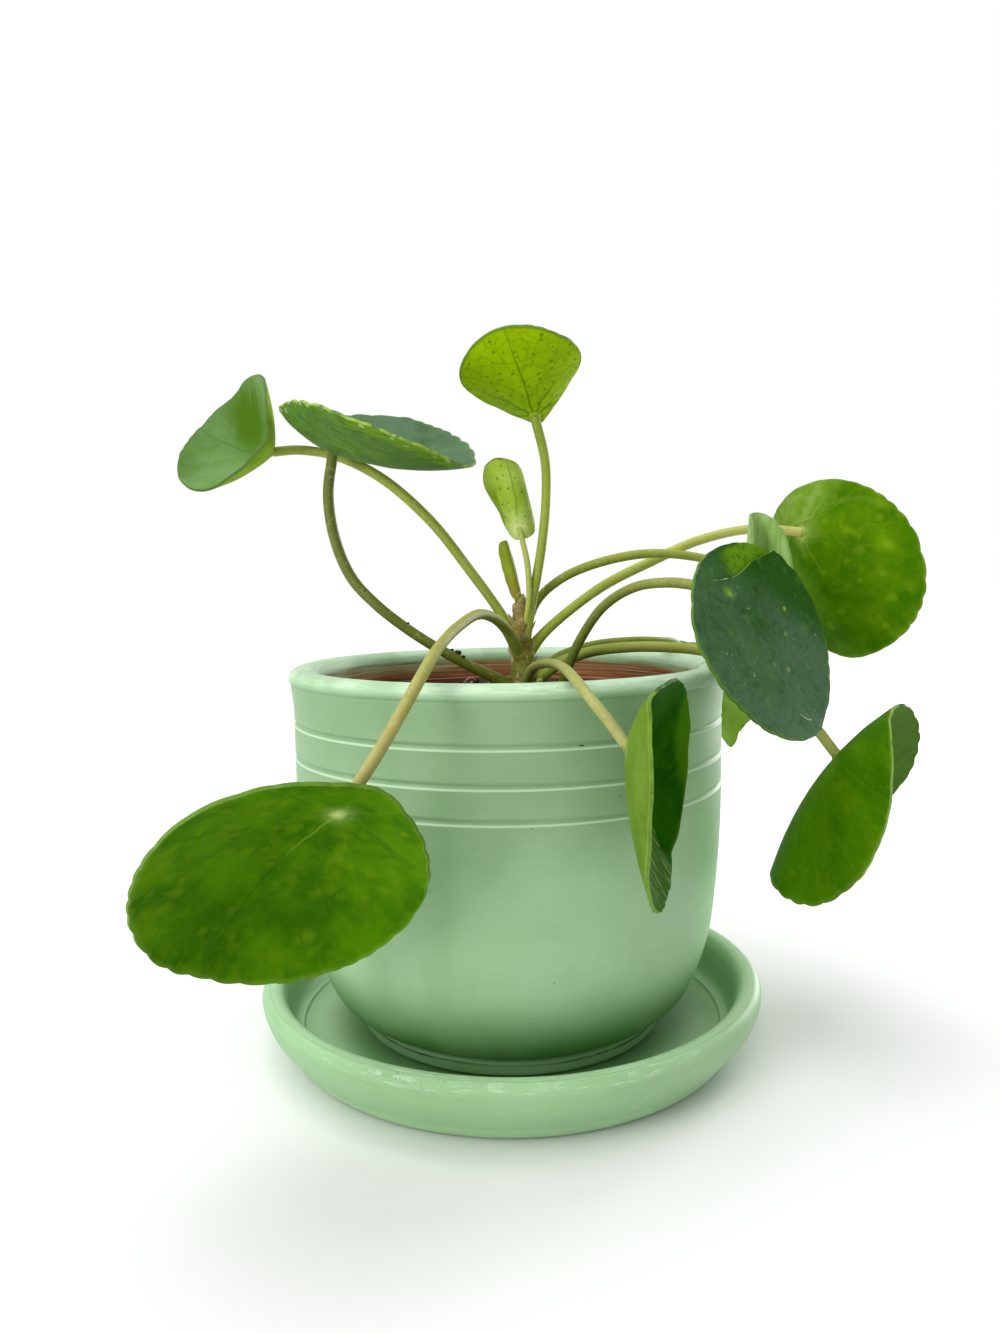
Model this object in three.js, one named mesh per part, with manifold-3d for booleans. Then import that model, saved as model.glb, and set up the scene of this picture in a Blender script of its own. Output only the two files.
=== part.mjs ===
// Potted plant with round coin shaped leaves, in a glazed pot that stands on its saucer.
// Millimetres, Z up, the viewer looks along +Y. The origin is under the middle of the saucer.
import * as THREE from "three";
import { mergeVertices } from "three/addons/utils/BufferGeometryUtils.js";
import Module from "manifold-3d";

const wasm = await Module();
wasm.setup();

// Clearance between two pieces that rest on each other
const GAP = 0.3;

// Saucer
const SAUCER_BASE_RADIUS = 63;
const SAUCER_OUTER_RADIUS = 72;
const SAUCER_INNER_RADIUS = 65.4;
const SAUCER_FLOOR_RADIUS = 61.5;
const SAUCER_FLOOR = 5.5;
const SAUCER_LIP = 18.6;
const SAUCER_LIP_MIDDLE = 68.6;

// Pot
const POT_BOTTOM = SAUCER_FLOOR + GAP;
const POT_TOP = 108.2;
const RIM_OUTER_RADIUS = 62.3;
const RIM_INNER_RADIUS = 53.4;
const BODY_RADIUS = 60.6;
const WALL = 7.2;
const FOOT_RADIUS = 43.5;
const FOOT_INNER_RADIUS = 37;
const FOOT_HEIGHT = 4.6;
const POT_FLOOR = 14.5;
const DRAIN_RADIUS = 6;
const GROOVE_DEPTH = 0.55;
const GROOVE_WIDTH = 3.2;
const GROOVE_BOTTOMS = [92.6, 83.4, 75];

// Soil
const SOIL_TOP = 96.4;
const SOIL_RELIEF = 0.7;
const STEM_HOLE_FLOOR = 74;

// Stem
const STEM_FOOT = STEM_HOLE_FLOOR + GAP;
const STEM_BASE_RADIUS = 4.6;
const STEM_TOP_RADIUS = 2.1;
const STEM_TOP = 125.2;
const STEM_BASE_X = 5.2;
const STEM_TOP_X = 3.9;

// Papery scales where stalks leave the stem: height, and degrees round it from +X
const SCALE_RADIUS = 1.1;
const SCALE_LENGTH = 5;
const SCALES = [[103, 250], [106, 310], [108, 20], [110, 200], [114, 275], [117, 340], [119, 215]];

// Green stub of a stalk that broke off by the soil
const STUB = [[6, -2, 98], [8.4, -5, 101], [9.4, -6.4, 103.6]];

// Leaf blades
const BLADE_THICKNESS = 0.8;
const CRENATION = 0.3;

const RING_SIDES = 48;
const TUBE_SIDES = 7;

const COLOURS = {
  glaze: "#a3c99f",
  soil: "#2b201a",
  stem: "#8f9a4a",
  bladeDark: "#4a6b45",
  blade: "#4f7d1d",
  bladeYoung: "#86ad2e",
};

// Leaf stalks: a line of points from inside the stem to just under the blade
const STALKS = {
  far_left: {
    radius: 1.5,
    path: [[3, 0, 111.5], [-0.5, 1, 120], [-10.5, 3.5, 134.5], [-22, 7, 149.2], [-36.5, 11, 162],
      [-50, 14, 168.8], [-61, 15, 170.8]],
  },
  upper_left: {
    radius: 1.6,
    path: [[4.5, -1, 98.5], [-1, -1.5, 102.2], [-10.5, -3, 107.2], [-20, -4, 112.7], [-29, -3, 118.6],
      [-37, -2, 125], [-44, 0, 132.5], [-49, 3, 143.5], [-51, 5, 156.5]],
  },
  top: {
    radius: 1.4,
    path: [[5, -1, 114], [7.4, -1, 125.7], [10.1, -1, 139.8], [11.6, -1, 154], [11.5, 0, 165]],
  },
  small: {
    radius: 0.85,
    path: [[5, -1.5, 117], [6.4, -2.7, 126], [6.1, -2.7, 136]],
  },
  right: {
    radius: 1.5,
    path: [[5, 1, 109], [11.3, 2.5, 116.5], [27.6, 8, 128.7], [43, 12, 136.2], [58.7, 17, 142.6],
      [75, 21, 145.8]],
  },
  behind_right: {
    radius: 1.35,
    path: [[4.8, 1.5, 116], [8.9, 4, 125.3], [15.6, 4, 131.3], [24.7, 4, 135.4], [38.4, 3, 138.3],
      [50.5, 3, 138], [63, 5, 135]],
  },
  big_right: {
    radius: 1.4,
    path: [[8, -2, 92], [14, -3, 97], [16.8, -5, 105.6], [20.4, -9, 114.6], [26.4, -16, 124.2],
      [34, -23, 129.3], [42, -29, 130.4], [49, -33.5, 129.4]],
  },
  low_right: {
    radius: 1.6,
    path: [[5, 1, 100], [14.7, 0, 107.2], [23.8, -1, 110.6], [35, -3, 112], [45, -5, 112],
      [55, -7, 111.1], [61, -8.4, 109.6], [66.5, -9.5, 106.9], [75, -11.1, 100], [84.3, -13, 90.5]],
  },
  hidden_right: {
    radius: 1.3,
    path: [[5, 1.5, 101], [15.6, 6, 109], [25.4, 10, 111.8], [37.3, 15, 112.6], [47, 21, 112],
      [53, 27.5, 110.8], [57, 33, 106.5]],
  },
  front_right: {
    radius: 1.3,
    path: [[4.5, -1.5, 99], [6.6, -14, 106.8], [9.8, -29, 110], [13, -48, 110.8], [15.2, -64, 109.3],
      [18, -71, 105.8], [22, -75.5, 100.8]],
  },
  big_left: {
    radius: 1.6,
    path: [[4.3, 0, 109], [-0.6, -10, 118.6], [-6.5, -25, 122.8], [-12, -42, 120.4], [-16.2, -57, 115.9],
      [-19.4, -65.5, 110.4], [-23.5, -72, 103], [-28.5, -78.5, 94.5]],
  },
};

// Leaf blades. at: where the stalk joins. up: way the upper face looks. tip: way the tip points.
// offset: how far the joint lies from the middle, as a share of half the length.
// fold: angle in degrees that each half rises along a crease of radius bow, skew degrees off the axis.
// bend: curving along the crease, in degrees per 17.5 mm. cup: dishing of the whole blade.
const BLADES = {
  far_left: {
    at: [-69.3, 15, 170.5], up: [-0.81, -0.37, 0.46], tip: [-0.46, 0.88, -0.1],
    length: 44, width: 42, offset: 0.36, fold: 17, bow: 7, skew: -5, bend: 13,
    grow: -0.13, twist: 9, cup: 0.36, shift: 0.8, sectors: 32, colour: "bladeDark",
  },
  upper_left: {
    at: [-49.2, 5, 169], up: [0.35, -0.14, 0.93], tip: [0.92, -0.13, -0.37],
    length: 60, width: 57, offset: 0.41, fold: 41, bow: 17, skew: -8, bend: 14,
    grow: -0.25, twist: 5, cup: -0.04, shift: 0, sectors: 36, colour: "bladeDark",
  },
  top: {
    at: [8.6, 0, 177.8], up: [-0.1, 0.55, 0.83], tip: [-0.26, -0.82, 0.51],
    length: 36, width: 35, offset: 0.71, fold: 34, bow: 1.6, skew: -1, bend: 9,
    grow: -0.73, twist: -3, cup: 0, shift: 0.1, sectors: 26, colour: "bladeYoung",
  },
  small: {
    at: [4, -2, 145.9], up: [-0.14, 0.97, 0.18], tip: [-0.13, -0.2, 0.97],
    length: 23, width: 22, offset: 0.73, fold: 72, bow: 2, skew: 1, bend: -9,
    grow: -0.02, twist: 18, cup: 0.07, shift: 1.4, sectors: 22, colour: "bladeYoung",
  },
  bud: {
    at: [3.3, -0.6, 126.9], up: [0.25, -0.95, 0.05], tip: [-0.22, -0.02, 0.97],
    length: 17, width: 8.5, offset: 0.93, fold: 72, bow: 0.9, skew: 0, bend: 6,
    grow: 0, twist: 0, cup: 0, shift: 0, sectors: 18, colour: "bladeYoung",
  },
  right: {
    at: [91.9, 25, 144.9], up: [0.82, 0.58, 0.02], tip: [0.26, -0.34, -0.9],
    length: 57, width: 54, offset: 0.46, fold: 18, bow: 10, skew: 3, bend: 0,
    grow: -0.02, twist: -1, cup: 0.22, shift: 0, sectors: 36, colour: "blade",
  },
  behind_right: {
    at: [70.2, 1, 129], up: [0.22, -0.96, -0.1], tip: [0.02, -0.1, -0.99],
    length: 44, width: 31, offset: 0.06, fold: 76, bow: 3, skew: 0, bend: 6,
    grow: 0.1, twist: 0, cup: 0, shift: 0, sectors: 28, colour: "bladeDark",
  },
  big_right: {
    at: [54.3, -40, 128], up: [0.58, -0.75, 0.31], tip: [0.61, 0.15, -0.77],
    length: 55, width: 52, offset: 0.59, fold: 4, bow: 13, skew: 0, bend: 0,
    grow: 0, twist: -6, cup: 0, shift: 0, sectors: 36, colour: "bladeDark",
    slit: { from: [-5, -2], angle: 119, gap: 0.4, drop: 1.4, span: 75 },
  },
  low_right: {
    at: [90.5, -15, 82.2], up: [0.75, -0.26, -0.6], tip: [-0.5, 0.36, -0.78],
    length: 61, width: 59, offset: 0.33, fold: 39, bow: 17, skew: 3, bend: -3,
    grow: 0, twist: -6, cup: 0.21, shift: -2.3, sectors: 36, colour: "blade",
  },
  hidden_right: {
    at: [60, 36.5, 100.2], up: [0.85, 0.3, 0.4], tip: [0.28, 0.12, -0.95],
    length: 38, width: 36, offset: 0.4, fold: 35, bow: 8, skew: 0, bend: 4,
    grow: 0, twist: 0, cup: 0.05, shift: 0, sectors: 26, colour: "blade",
  },
  front_right: {
    at: [25.2, -78, 96.5], up: [0.94, -0.24, -0.24], tip: [-0.11, 0.46, -0.88],
    length: 53, width: 51, offset: 0.4, fold: 16, bow: 6, skew: 14, bend: 11,
    grow: -0.19, twist: 0, cup: 0.14, shift: 0.2, sectors: 34, colour: "blade",
  },
  big_left: {
    at: [-35.3, -84, 84.3], up: [0.01, -0.71, -0.7], tip: [-0.75, 0.46, -0.48],
    length: 66, width: 63, offset: 0.55, fold: 11, bow: 11, skew: 1, bend: 7,
    grow: -0.06, twist: -5, cup: 0.16, shift: 0, sectors: 36, colour: "blade",
  },
};

const radians = (degrees) => (degrees * Math.PI) / 180;

// Closed solid out of a triangle geometry, with its faces turned outward
function toSolid(geometry) {
  const bare = geometry.clone();
  bare.deleteAttribute("normal");
  bare.deleteAttribute("uv");
  const merged = mergeVertices(bare, 1e-4);
  const index = merged.index.array;
  const kept = [];
  for (let i = 0; i < index.length; i += 3) {
    const [a, b, c] = [index[i], index[i + 1], index[i + 2]];
    if (a !== b && b !== c && c !== a) kept.push(a, b, c);
  }
  const vertProperties = new Float32Array(merged.attributes.position.array);
  const build = (order) => new wasm.Manifold(new wasm.Mesh({
    numProp: 3,
    vertProperties,
    triVerts: Uint32Array.from(order),
  }));
  const solid = build(kept);
  if (solid.volume() > 0) return solid;
  const flipped = [];
  for (let i = 0; i < kept.length; i += 3) flipped.push(kept[i], kept[i + 2], kept[i + 1]);
  return build(flipped);
}

function toGeometry(solid) {
  const mesh = solid.getMesh();
  const geometry = new THREE.BufferGeometry();
  const stride = mesh.numProp;
  const positions = new Float32Array((mesh.vertProperties.length / stride) * 3);
  for (let i = 0; i < positions.length / 3; i += 1) {
    for (let k = 0; k < 3; k += 1) positions[3 * i + k] = mesh.vertProperties[stride * i + k];
  }
  geometry.setAttribute("position", new THREE.BufferAttribute(positions, 3));
  geometry.setIndex(new THREE.BufferAttribute(new Uint32Array(mesh.triVerts), 1));
  geometry.computeVertexNormals();
  return geometry;
}

// Turned solid from a closed outline of radius and height
function turned(outline, sides) {
  const points = outline.map(([radius, height]) => new THREE.Vector2(radius, height));
  const geometry = new THREE.LatheGeometry(points, sides);
  geometry.rotateX(Math.PI / 2);
  return toSolid(geometry);
}

// Round bar of even thickness along a smooth line
function bar(points, radius, sides, steps) {
  const section = new THREE.Shape();
  for (let i = 0; i < sides; i += 1) {
    const angle = (2 * Math.PI * i) / sides;
    const x = radius * Math.cos(angle);
    const y = radius * Math.sin(angle);
    if (i === 0) section.moveTo(x, y);
    else section.lineTo(x, y);
  }
  section.closePath();
  const line = new THREE.CatmullRomCurve3(points.map((p) => new THREE.Vector3(...p)), false, "centripetal");
  const count = steps ?? Math.max(3, Math.round(line.getLength() / 6));
  const geometry = new THREE.ExtrudeGeometry(section, {
    steps: count,
    bevelEnabled: false,
    extrudePath: line,
  });
  return toSolid(geometry);
}

// Saucer with a thick rounded lip, a steep inner wall and a raised ring line on its floor
function buildSaucer() {
  const outline = [
    [0, 0],
    [SAUCER_BASE_RADIUS - 1.2, 0],
    [SAUCER_BASE_RADIUS, 0.8],
    [SAUCER_BASE_RADIUS + 3.6, 5.2],
    [SAUCER_OUTER_RADIUS - 1.6, 10.4],
    [SAUCER_OUTER_RADIUS - 0.3, 14],
    [SAUCER_OUTER_RADIUS, 16],
    [SAUCER_OUTER_RADIUS - 0.7, 17.7],
    [SAUCER_LIP_MIDDLE + 0.8, SAUCER_LIP],
    [SAUCER_LIP_MIDDLE - 1.4, SAUCER_LIP - 0.1],
    [SAUCER_INNER_RADIUS + 0.3, SAUCER_LIP - 1],
    [SAUCER_INNER_RADIUS - 0.5, SAUCER_LIP - 2.8],
    [SAUCER_INNER_RADIUS - 1.6, SAUCER_FLOOR + 3.5],
    [SAUCER_FLOOR_RADIUS + 0.6, SAUCER_FLOOR + 1],
    [SAUCER_FLOOR_RADIUS - 0.9, SAUCER_FLOOR + 0.9],
    [SAUCER_FLOOR_RADIUS - 1.8, SAUCER_FLOOR],
    [0, SAUCER_FLOOR],
  ];
  return turned(outline, RING_SIDES);
}

// Pot with a rounded rim, three shallow grooves, a bowl shaped lower body and a foot ring
function buildPot() {
  const outside = [
    [FOOT_INNER_RADIUS, POT_BOTTOM],
    [FOOT_RADIUS - 0.6, POT_BOTTOM],
    [FOOT_RADIUS, POT_BOTTOM + 0.7],
    [FOOT_RADIUS - 0.4, POT_BOTTOM + FOOT_HEIGHT - 0.8],
    [FOOT_RADIUS - 1.5, POT_BOTTOM + FOOT_HEIGHT - 0.2],
    [FOOT_RADIUS + 0.5, POT_BOTTOM + FOOT_HEIGHT + 0.5],
    [48.1, 13],
    [51.6, 17],
    [54.4, 23],
    [57.2, 32],
    [59, 45],
    [60.1, 60],
  ];
  const bottoms = [...GROOVE_BOTTOMS].sort((a, b) => a - b);
  for (const bottom of bottoms) {
    outside.push([BODY_RADIUS, bottom]);
    outside.push([BODY_RADIUS - GROOVE_DEPTH, bottom + 0.9]);
    outside.push([BODY_RADIUS - GROOVE_DEPTH, bottom + GROOVE_WIDTH - 0.8]);
    outside.push([BODY_RADIUS, bottom + GROOVE_WIDTH]);
  }
  const rim = [
    [RIM_OUTER_RADIUS - 0.4, 102.2],
    [RIM_OUTER_RADIUS, 105],
    [RIM_OUTER_RADIUS - 0.8, 106.9],
    [RIM_OUTER_RADIUS - 2.9, POT_TOP - 0.1],
    [RIM_INNER_RADIUS + 3.6, POT_TOP],
    [RIM_INNER_RADIUS + 1.2, POT_TOP - 1],
    [RIM_INNER_RADIUS, POT_TOP - 3.2],
  ];
  const inside = [
    [BODY_RADIUS - WALL - 0.4, 90],
    [59 - WALL - 0.6, 45],
    [57.2 - WALL - 0.8, 32],
    [50, 24],
    [43, 17.6],
    [34, POT_FLOOR],
    [DRAIN_RADIUS, POT_FLOOR],
    [DRAIN_RADIUS, POT_BOTTOM + 3.4],
    [FOOT_INNER_RADIUS - 1.5, POT_BOTTOM + 3.2],
  ];
  const outline = [...outside, ...rim, ...inside, outside[0]];
  return turned(outline, RING_SIDES);
}

// Bars that pass into the soil, a little thicker, so that the stem stands in plain holes
function stemHoles() {
  const hole = turned([
    [0, STEM_HOLE_FLOOR],
    [STEM_BASE_RADIUS + 1, STEM_HOLE_FLOOR],
    [STEM_BASE_RADIUS + 1, SOIL_TOP + 12],
    [0, SOIL_TOP + 12],
  ], 16).translate([STEM_BASE_X, 0, 0]);
  return [hole];
}

// Soil that fills the pot, with a crumbly top
function buildSoil() {
  const sides = 36;
  const rings = [0, 9, 17, 25, 33, 40, 46, 50];
  const edge = BODY_RADIUS - WALL - 0.4 - GAP - 0.3;
  const relief = (x, y) => SOIL_RELIEF * (Math.sin(0.53 * x + 0.4) * Math.cos(0.47 * y)
    + 0.7 * Math.sin(0.31 * y - 0.22 * x + 1.3));
  const rows = rings.map((radius) => ({ radius, height: null }));
  rows.push({ radius: edge, height: SOIL_TOP - 0.8 });
  rows.push({ radius: 59 - WALL - 0.6 - GAP - 0.2, height: 46 });
  rows.push({ radius: 57.2 - WALL - 0.8 - GAP - 0.3, height: 32.4 });
  rows.push({ radius: 49.5, height: 24.4 });
  rows.push({ radius: 42.7, height: 18.1 });
  rows.push({ radius: 33.8, height: POT_FLOOR + GAP });
  rows.push({ radius: 0, height: POT_FLOOR + GAP });
  const positions = [];
  const index = [];
  for (const row of rows) {
    for (let i = 0; i < sides; i += 1) {
      const angle = (2 * Math.PI * i) / sides;
      const x = row.radius * Math.cos(angle);
      const y = row.radius * Math.sin(angle);
      positions.push(x, y, row.height ?? SOIL_TOP + relief(x, y));
    }
  }
  for (let r = 0; r + 1 < rows.length; r += 1) {
    for (let i = 0; i < sides; i += 1) {
      const a = r * sides + i;
      const b = r * sides + ((i + 1) % sides);
      index.push(a, a + sides, b, b, a + sides, b + sides);
    }
  }
  const geometry = new THREE.BufferGeometry();
  geometry.setAttribute("position", new THREE.Float32BufferAttribute(positions, 3));
  geometry.setIndex(index);
  let solid = toSolid(geometry);
  for (const hole of stemHoles()) solid = solid.subtract(hole);
  const thick = bar(STALKS.big_right.path, STALKS.big_right.radius + GAP + 0.15, TUBE_SIDES);
  return solid.subtract(thick);
}

// Leaf outline seen flat, with the stalk joint at the origin and the tip along +p. The angle runs
// round the middle of the blade, and the edge is waved.
function outlinePoint(blade, angle) {
  const half = blade.length / 2;
  const wave = 1 + (CRENATION / half) * Math.cos((blade.sectors / 2) * angle);
  const p = half * blade.offset + half * wave * Math.cos(angle);
  const q = (blade.width / 2) * wave * Math.sin(angle);
  return [p, q];
}

// Flat point (p, q) raised into the folded, bent and cupped blade, and sunk by a depth at a slit
function curl(blade, p, q, sunk = 0) {
  const half = blade.length / 2;
  const skew = radians(blade.skew);
  const along = Math.cos(skew) * p + Math.sin(skew) * q;
  const across = -Math.sin(skew) * p + Math.cos(skew) * q - blade.shift;
  const most = Math.min(100, Math.max(0, blade.fold * (1 + (blade.grow * along) / half)));
  const fold = radians(most);
  const twist = (radians(blade.twist) * along) / half;
  const reach = Math.abs(across);
  const turn = Math.min(reach / blade.bow, fold);
  const rest = Math.max(0, reach - blade.bow * fold);
  const out = Math.sign(across) * (blade.bow * Math.sin(turn) + rest * Math.cos(fold));
  const dish = (blade.cup * (p * p + q * q)) / half - sunk;
  const rise = blade.bow * (1 - Math.cos(turn)) + rest * Math.sin(fold) + dish;
  const side = Math.cos(twist) * out - Math.sin(twist) * rise + blade.shift;
  const high = Math.sin(twist) * out + Math.cos(twist) * rise;
  const bend = (Math.abs(blade.bend) < 0.01 ? 0.01 : blade.bend) / 1000;
  const x = (1 / bend - high) * Math.sin(bend * along);
  const z = 1 / bend - (1 / bend - high) * Math.cos(bend * along);
  return new THREE.Vector3(Math.cos(skew) * x - Math.sin(skew) * side,
    Math.sin(skew) * x + Math.cos(skew) * side, z);
}

// Closed blade: two faces with the same triangles, half the thickness to each side, and an edge.
// Its rings run round the stalk joint, or round the inner end of the slit where it has one.
function buildBlade(blade) {
  const rings = blade.sectors > 30 ? 4 : 3;
  const slit = blade.slit;
  const columns = blade.sectors + (slit ? 1 : 0);
  const [middleP, middleQ] = slit ? slit.from : [0, 0];
  const first = slit ? radians(slit.angle + slit.gap) : 0;
  const sweep = 2 * Math.PI - (slit ? radians(2 * slit.gap) : 0);
  const flat = [[middleP, middleQ, 0]];
  for (let r = 1; r <= rings; r += 1) {
    for (let s = 0; s < columns; s += 1) {
      const angle = first + (sweep * s) / blade.sectors;
      const share = r / rings;
      const [p, q] = outlinePoint(blade, angle);
      const lobe = slit ? Math.max(0, 1 - (angle - first) / radians(slit.span)) : 0;
      const sunk = slit ? slit.drop * lobe * share : 0;
      flat.push([middleP + (p - middleP) * share, middleQ + (q - middleQ) * share, sunk]);
    }
  }
  const tip = new THREE.Vector3(...blade.tip);
  const up = new THREE.Vector3(...blade.up).normalize();
  tip.addScaledVector(up, -tip.dot(up)).normalize();
  const left = new THREE.Vector3().crossVectors(up, tip);
  const origin = curl(blade, 0, 0);
  const turn = new THREE.Matrix4().makeBasis(tip, left, up).setPosition(...blade.at);
  const faces = [[], []];
  for (const [p, q, sunk] of flat) {
    const step = 0.4;
    const alongP = curl(blade, p + step, q).sub(curl(blade, p - step, q));
    const alongQ = curl(blade, p, q + step).sub(curl(blade, p, q - step));
    const normal = alongP.cross(alongQ).normalize();
    for (let side = 0; side < 2; side += 1) {
      const shift = (side === 0 ? 0.5 : -0.5) * BLADE_THICKNESS;
      const point = curl(blade, p, q, sunk).sub(origin).addScaledVector(normal, shift);
      faces[side].push(point.applyMatrix4(turn));
    }
  }
  const positions = [...faces[0], ...faces[1]].flatMap((point) => [point.x, point.y, point.z]);
  const under = flat.length;
  const at = (ring, column) => (ring === 0 ? 0 : 1 + (ring - 1) * columns + (column % columns));
  const index = [];
  const both = (a, b, c) => index.push(a, b, c, under + a, under + c, under + b);
  const wall = (a, b) => index.push(a, under + a, under + b, a, under + b, b);
  for (let s = 0; s < blade.sectors; s += 1) {
    both(0, at(1, s), at(1, s + 1));
    for (let r = 1; r < rings; r += 1) {
      both(at(r, s), at(r + 1, s), at(r + 1, s + 1));
      both(at(r, s), at(r + 1, s + 1), at(r, s + 1));
    }
    wall(at(rings, s), at(rings, s + 1));
  }
  for (let r = 0; slit && r < rings; r += 1) {
    wall(at(r, 0), at(r + 1, 0));
    wall(at(r + 1, blade.sectors), at(r, blade.sectors));
  }
  const geometry = new THREE.BufferGeometry();
  geometry.setAttribute("position", new THREE.Float32BufferAttribute(positions, 3));
  geometry.setIndex(index);
  return toSolid(geometry);
}

// Stem: a short ringed trunk with every leaf stalk grown out of it, and a cut green stub
function buildStem(blades) {
  const rings = 9;
  const outline = [[0, STEM_FOOT], [STEM_BASE_RADIUS - 1.6, STEM_FOOT]];
  for (let i = 0; i <= rings; i += 1) {
    const share = i / rings;
    const height = 88 + (STEM_TOP - 88) * share;
    const ridge = i % 2 === 0 ? 0.25 : -0.15;
    const radius = STEM_BASE_RADIUS + (STEM_TOP_RADIUS - STEM_BASE_RADIUS) * share ** 1.4 + ridge;
    outline.push([radius, height]);
  }
  outline.push([0, STEM_TOP + 0.4]);
  const trunk = turned(outline, 12).warp((v) => {
    const share = Math.max(0, (v[2] - 90) / (STEM_TOP - 90));
    v[0] += STEM_BASE_X + (STEM_TOP_X - STEM_BASE_X) * share;
    v[1] -= 0.6 * share;
  });
  const pieces = [trunk];
  for (const [name, stalk] of Object.entries(STALKS)) {
    const blade = BLADES[name];
    const up = new THREE.Vector3(...blade.up).normalize();
    const joint = new THREE.Vector3(...blade.at);
    const under = BLADE_THICKNESS / 2 + GAP + (blade.bow < 3 ? 0.25 : 0);
    const end = joint.clone().addScaledVector(up, -under);
    const before = joint.clone().addScaledVector(up, -under - 2.2);
    const path = [...stalk.path, before.toArray(), end.toArray()];
    pieces.push(bar(path, stalk.radius, TUBE_SIDES));
  }
  pieces.push(bar(STUB, 1, 6, 3));
  for (const [height, turn] of SCALES) {
    const cone = new THREE.ConeGeometry(SCALE_RADIUS, SCALE_LENGTH, 5);
    cone.rotateX(Math.PI / 2);
    cone.rotateY(radians(22));
    cone.translate(STEM_BASE_RADIUS - 1.5 - 0.06 * (height - 100), 0, height);
    cone.rotateZ(radians(turn));
    cone.translate(STEM_BASE_X - 0.04 * (height - 90), 0, 0);
    pieces.push(toSolid(cone));
  }
  return wasm.Manifold.union(pieces);
}

function part(name, solid, colour, roughness) {
  const material = new THREE.MeshStandardMaterial({
    color: colour,
    roughness,
    metalness: 0,
  });
  const mesh = new THREE.Mesh(toGeometry(solid), material);
  mesh.name = name;
  return mesh;
}

const group = new THREE.Group();
group.name = "potted_plant";
group.add(part("saucer", buildSaucer(), COLOURS.glaze, 0.5));
group.add(part("pot", buildPot(), COLOURS.glaze, 0.5));
group.add(part("soil", buildSoil(), COLOURS.soil, 0.95));
group.add(part("stem", buildStem(), COLOURS.stem, 0.6));
for (const [name, blade] of Object.entries(BLADES)) {
  group.add(part(`blade_${name}`, buildBlade(blade), COLOURS[blade.colour], 0.45));
}

export default group;
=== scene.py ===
"""Potted plant with round coin shaped leaves: painted clay pot and saucer, soil, stem and leaf
blades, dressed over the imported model. Metres, Z up; helper tables are in millimetres."""

import math
import random

import bmesh
import bpy
from mathutils import Matrix, Vector


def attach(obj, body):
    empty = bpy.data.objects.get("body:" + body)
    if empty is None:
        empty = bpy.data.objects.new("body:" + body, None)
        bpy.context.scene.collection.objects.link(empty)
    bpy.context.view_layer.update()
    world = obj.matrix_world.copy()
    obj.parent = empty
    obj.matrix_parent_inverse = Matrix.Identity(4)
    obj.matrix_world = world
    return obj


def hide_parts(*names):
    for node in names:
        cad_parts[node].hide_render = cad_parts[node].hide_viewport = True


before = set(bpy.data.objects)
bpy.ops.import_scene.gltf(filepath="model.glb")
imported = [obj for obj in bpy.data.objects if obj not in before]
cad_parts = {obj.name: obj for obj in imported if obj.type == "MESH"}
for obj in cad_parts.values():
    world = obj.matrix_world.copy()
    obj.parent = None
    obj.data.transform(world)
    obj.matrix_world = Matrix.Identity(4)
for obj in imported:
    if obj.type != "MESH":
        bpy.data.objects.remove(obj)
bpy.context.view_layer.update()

bl_info = {
    "name": "Potted coin leaf plant",
    "version": (1, 0, 0),
    "blender": (4, 5, 0),
    "location": "View3D > Sidebar > Plant",
    "description": "Makes a potted plant with round leaves, piece by piece",
    "category": "Add Mesh",
}

MM = 0.001
# Width of a blade's flat map in millimetres, and where the joint lies on it
FLAT_MAP_SPAN = 120.0
FLAT_MAP_JOINT = (0.4, 0.5)

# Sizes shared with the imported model, in millimetres
BLADE_THICKNESS = 0.8
# Steps round and across the disc that a blade is curled from
DISC_COLUMNS, DISC_RINGS = 216, 22
SOIL_TOP, SOIL_RADIUS, SOIL_EDGE_DROP = 96.4, 52.4, 0.8
SOIL_SIDES, SOIL_RINGS = 120, 31
# Radius and height of the soil down the inside of the pot
SOIL_BELOW = [(50.7, 46), (48.4, 32.4), (49.4, 24.4), (42.6, 18.1), (33.8, 14.9)]
STEM_FOOT = 74.3
STEM_BASE_RADIUS, STEM_TOP_RADIUS = 4.6, 2.1
STEM_TOP = 125.2
STEM_BASE_X, STEM_TOP_X = 5.2, 3.9
# Heights from which the trunk is drawn ring by ring and from which it leans
STEM_RINGS, STEM_RINGS_FROM, STEM_LEANS_FROM = 56, 86, 90
# Size of the lumps of thrown clay, in metres, and how far out crumbs lie
CLAY_LUMPS = 0.035
CRUMB_SPREAD = 51.0
# Share of the crumbs that are small and pale
PALE_CRUMBS = 0.08

# Outline of the saucer: radius and height, from the middle underneath round to the middle above
SAUCER_BOTTOM = [(0, 0), (30, 0)]
SAUCER_WALL = [
    (61.8, 0), (63, 0.8), (64.9, 3), (66.6, 5.2), (68.7, 7.9), (70.4, 10.4), (71.4, 12.9),
    (71.9, 14.9), (71.95, 16.2), (71.3, 17.6), (70.2, 18.35), (68.9, 18.6), (67.4, 18.5),
    (66.2, 17.95), (65.4, 17.0), (64.8, 15.6), (64.3, 13), (63.9, 10.5), (63.2, 8),
    (62.3, 6.75), (61.4, 6.5),
]
SAUCER_FLOOR = [
    (60.6, 6.42), (60.25, 6.2), (60.0, 5.6), (59.4, 5.45), (57, 5.5), (30, 5.5), (0, 5.5),
]

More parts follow.
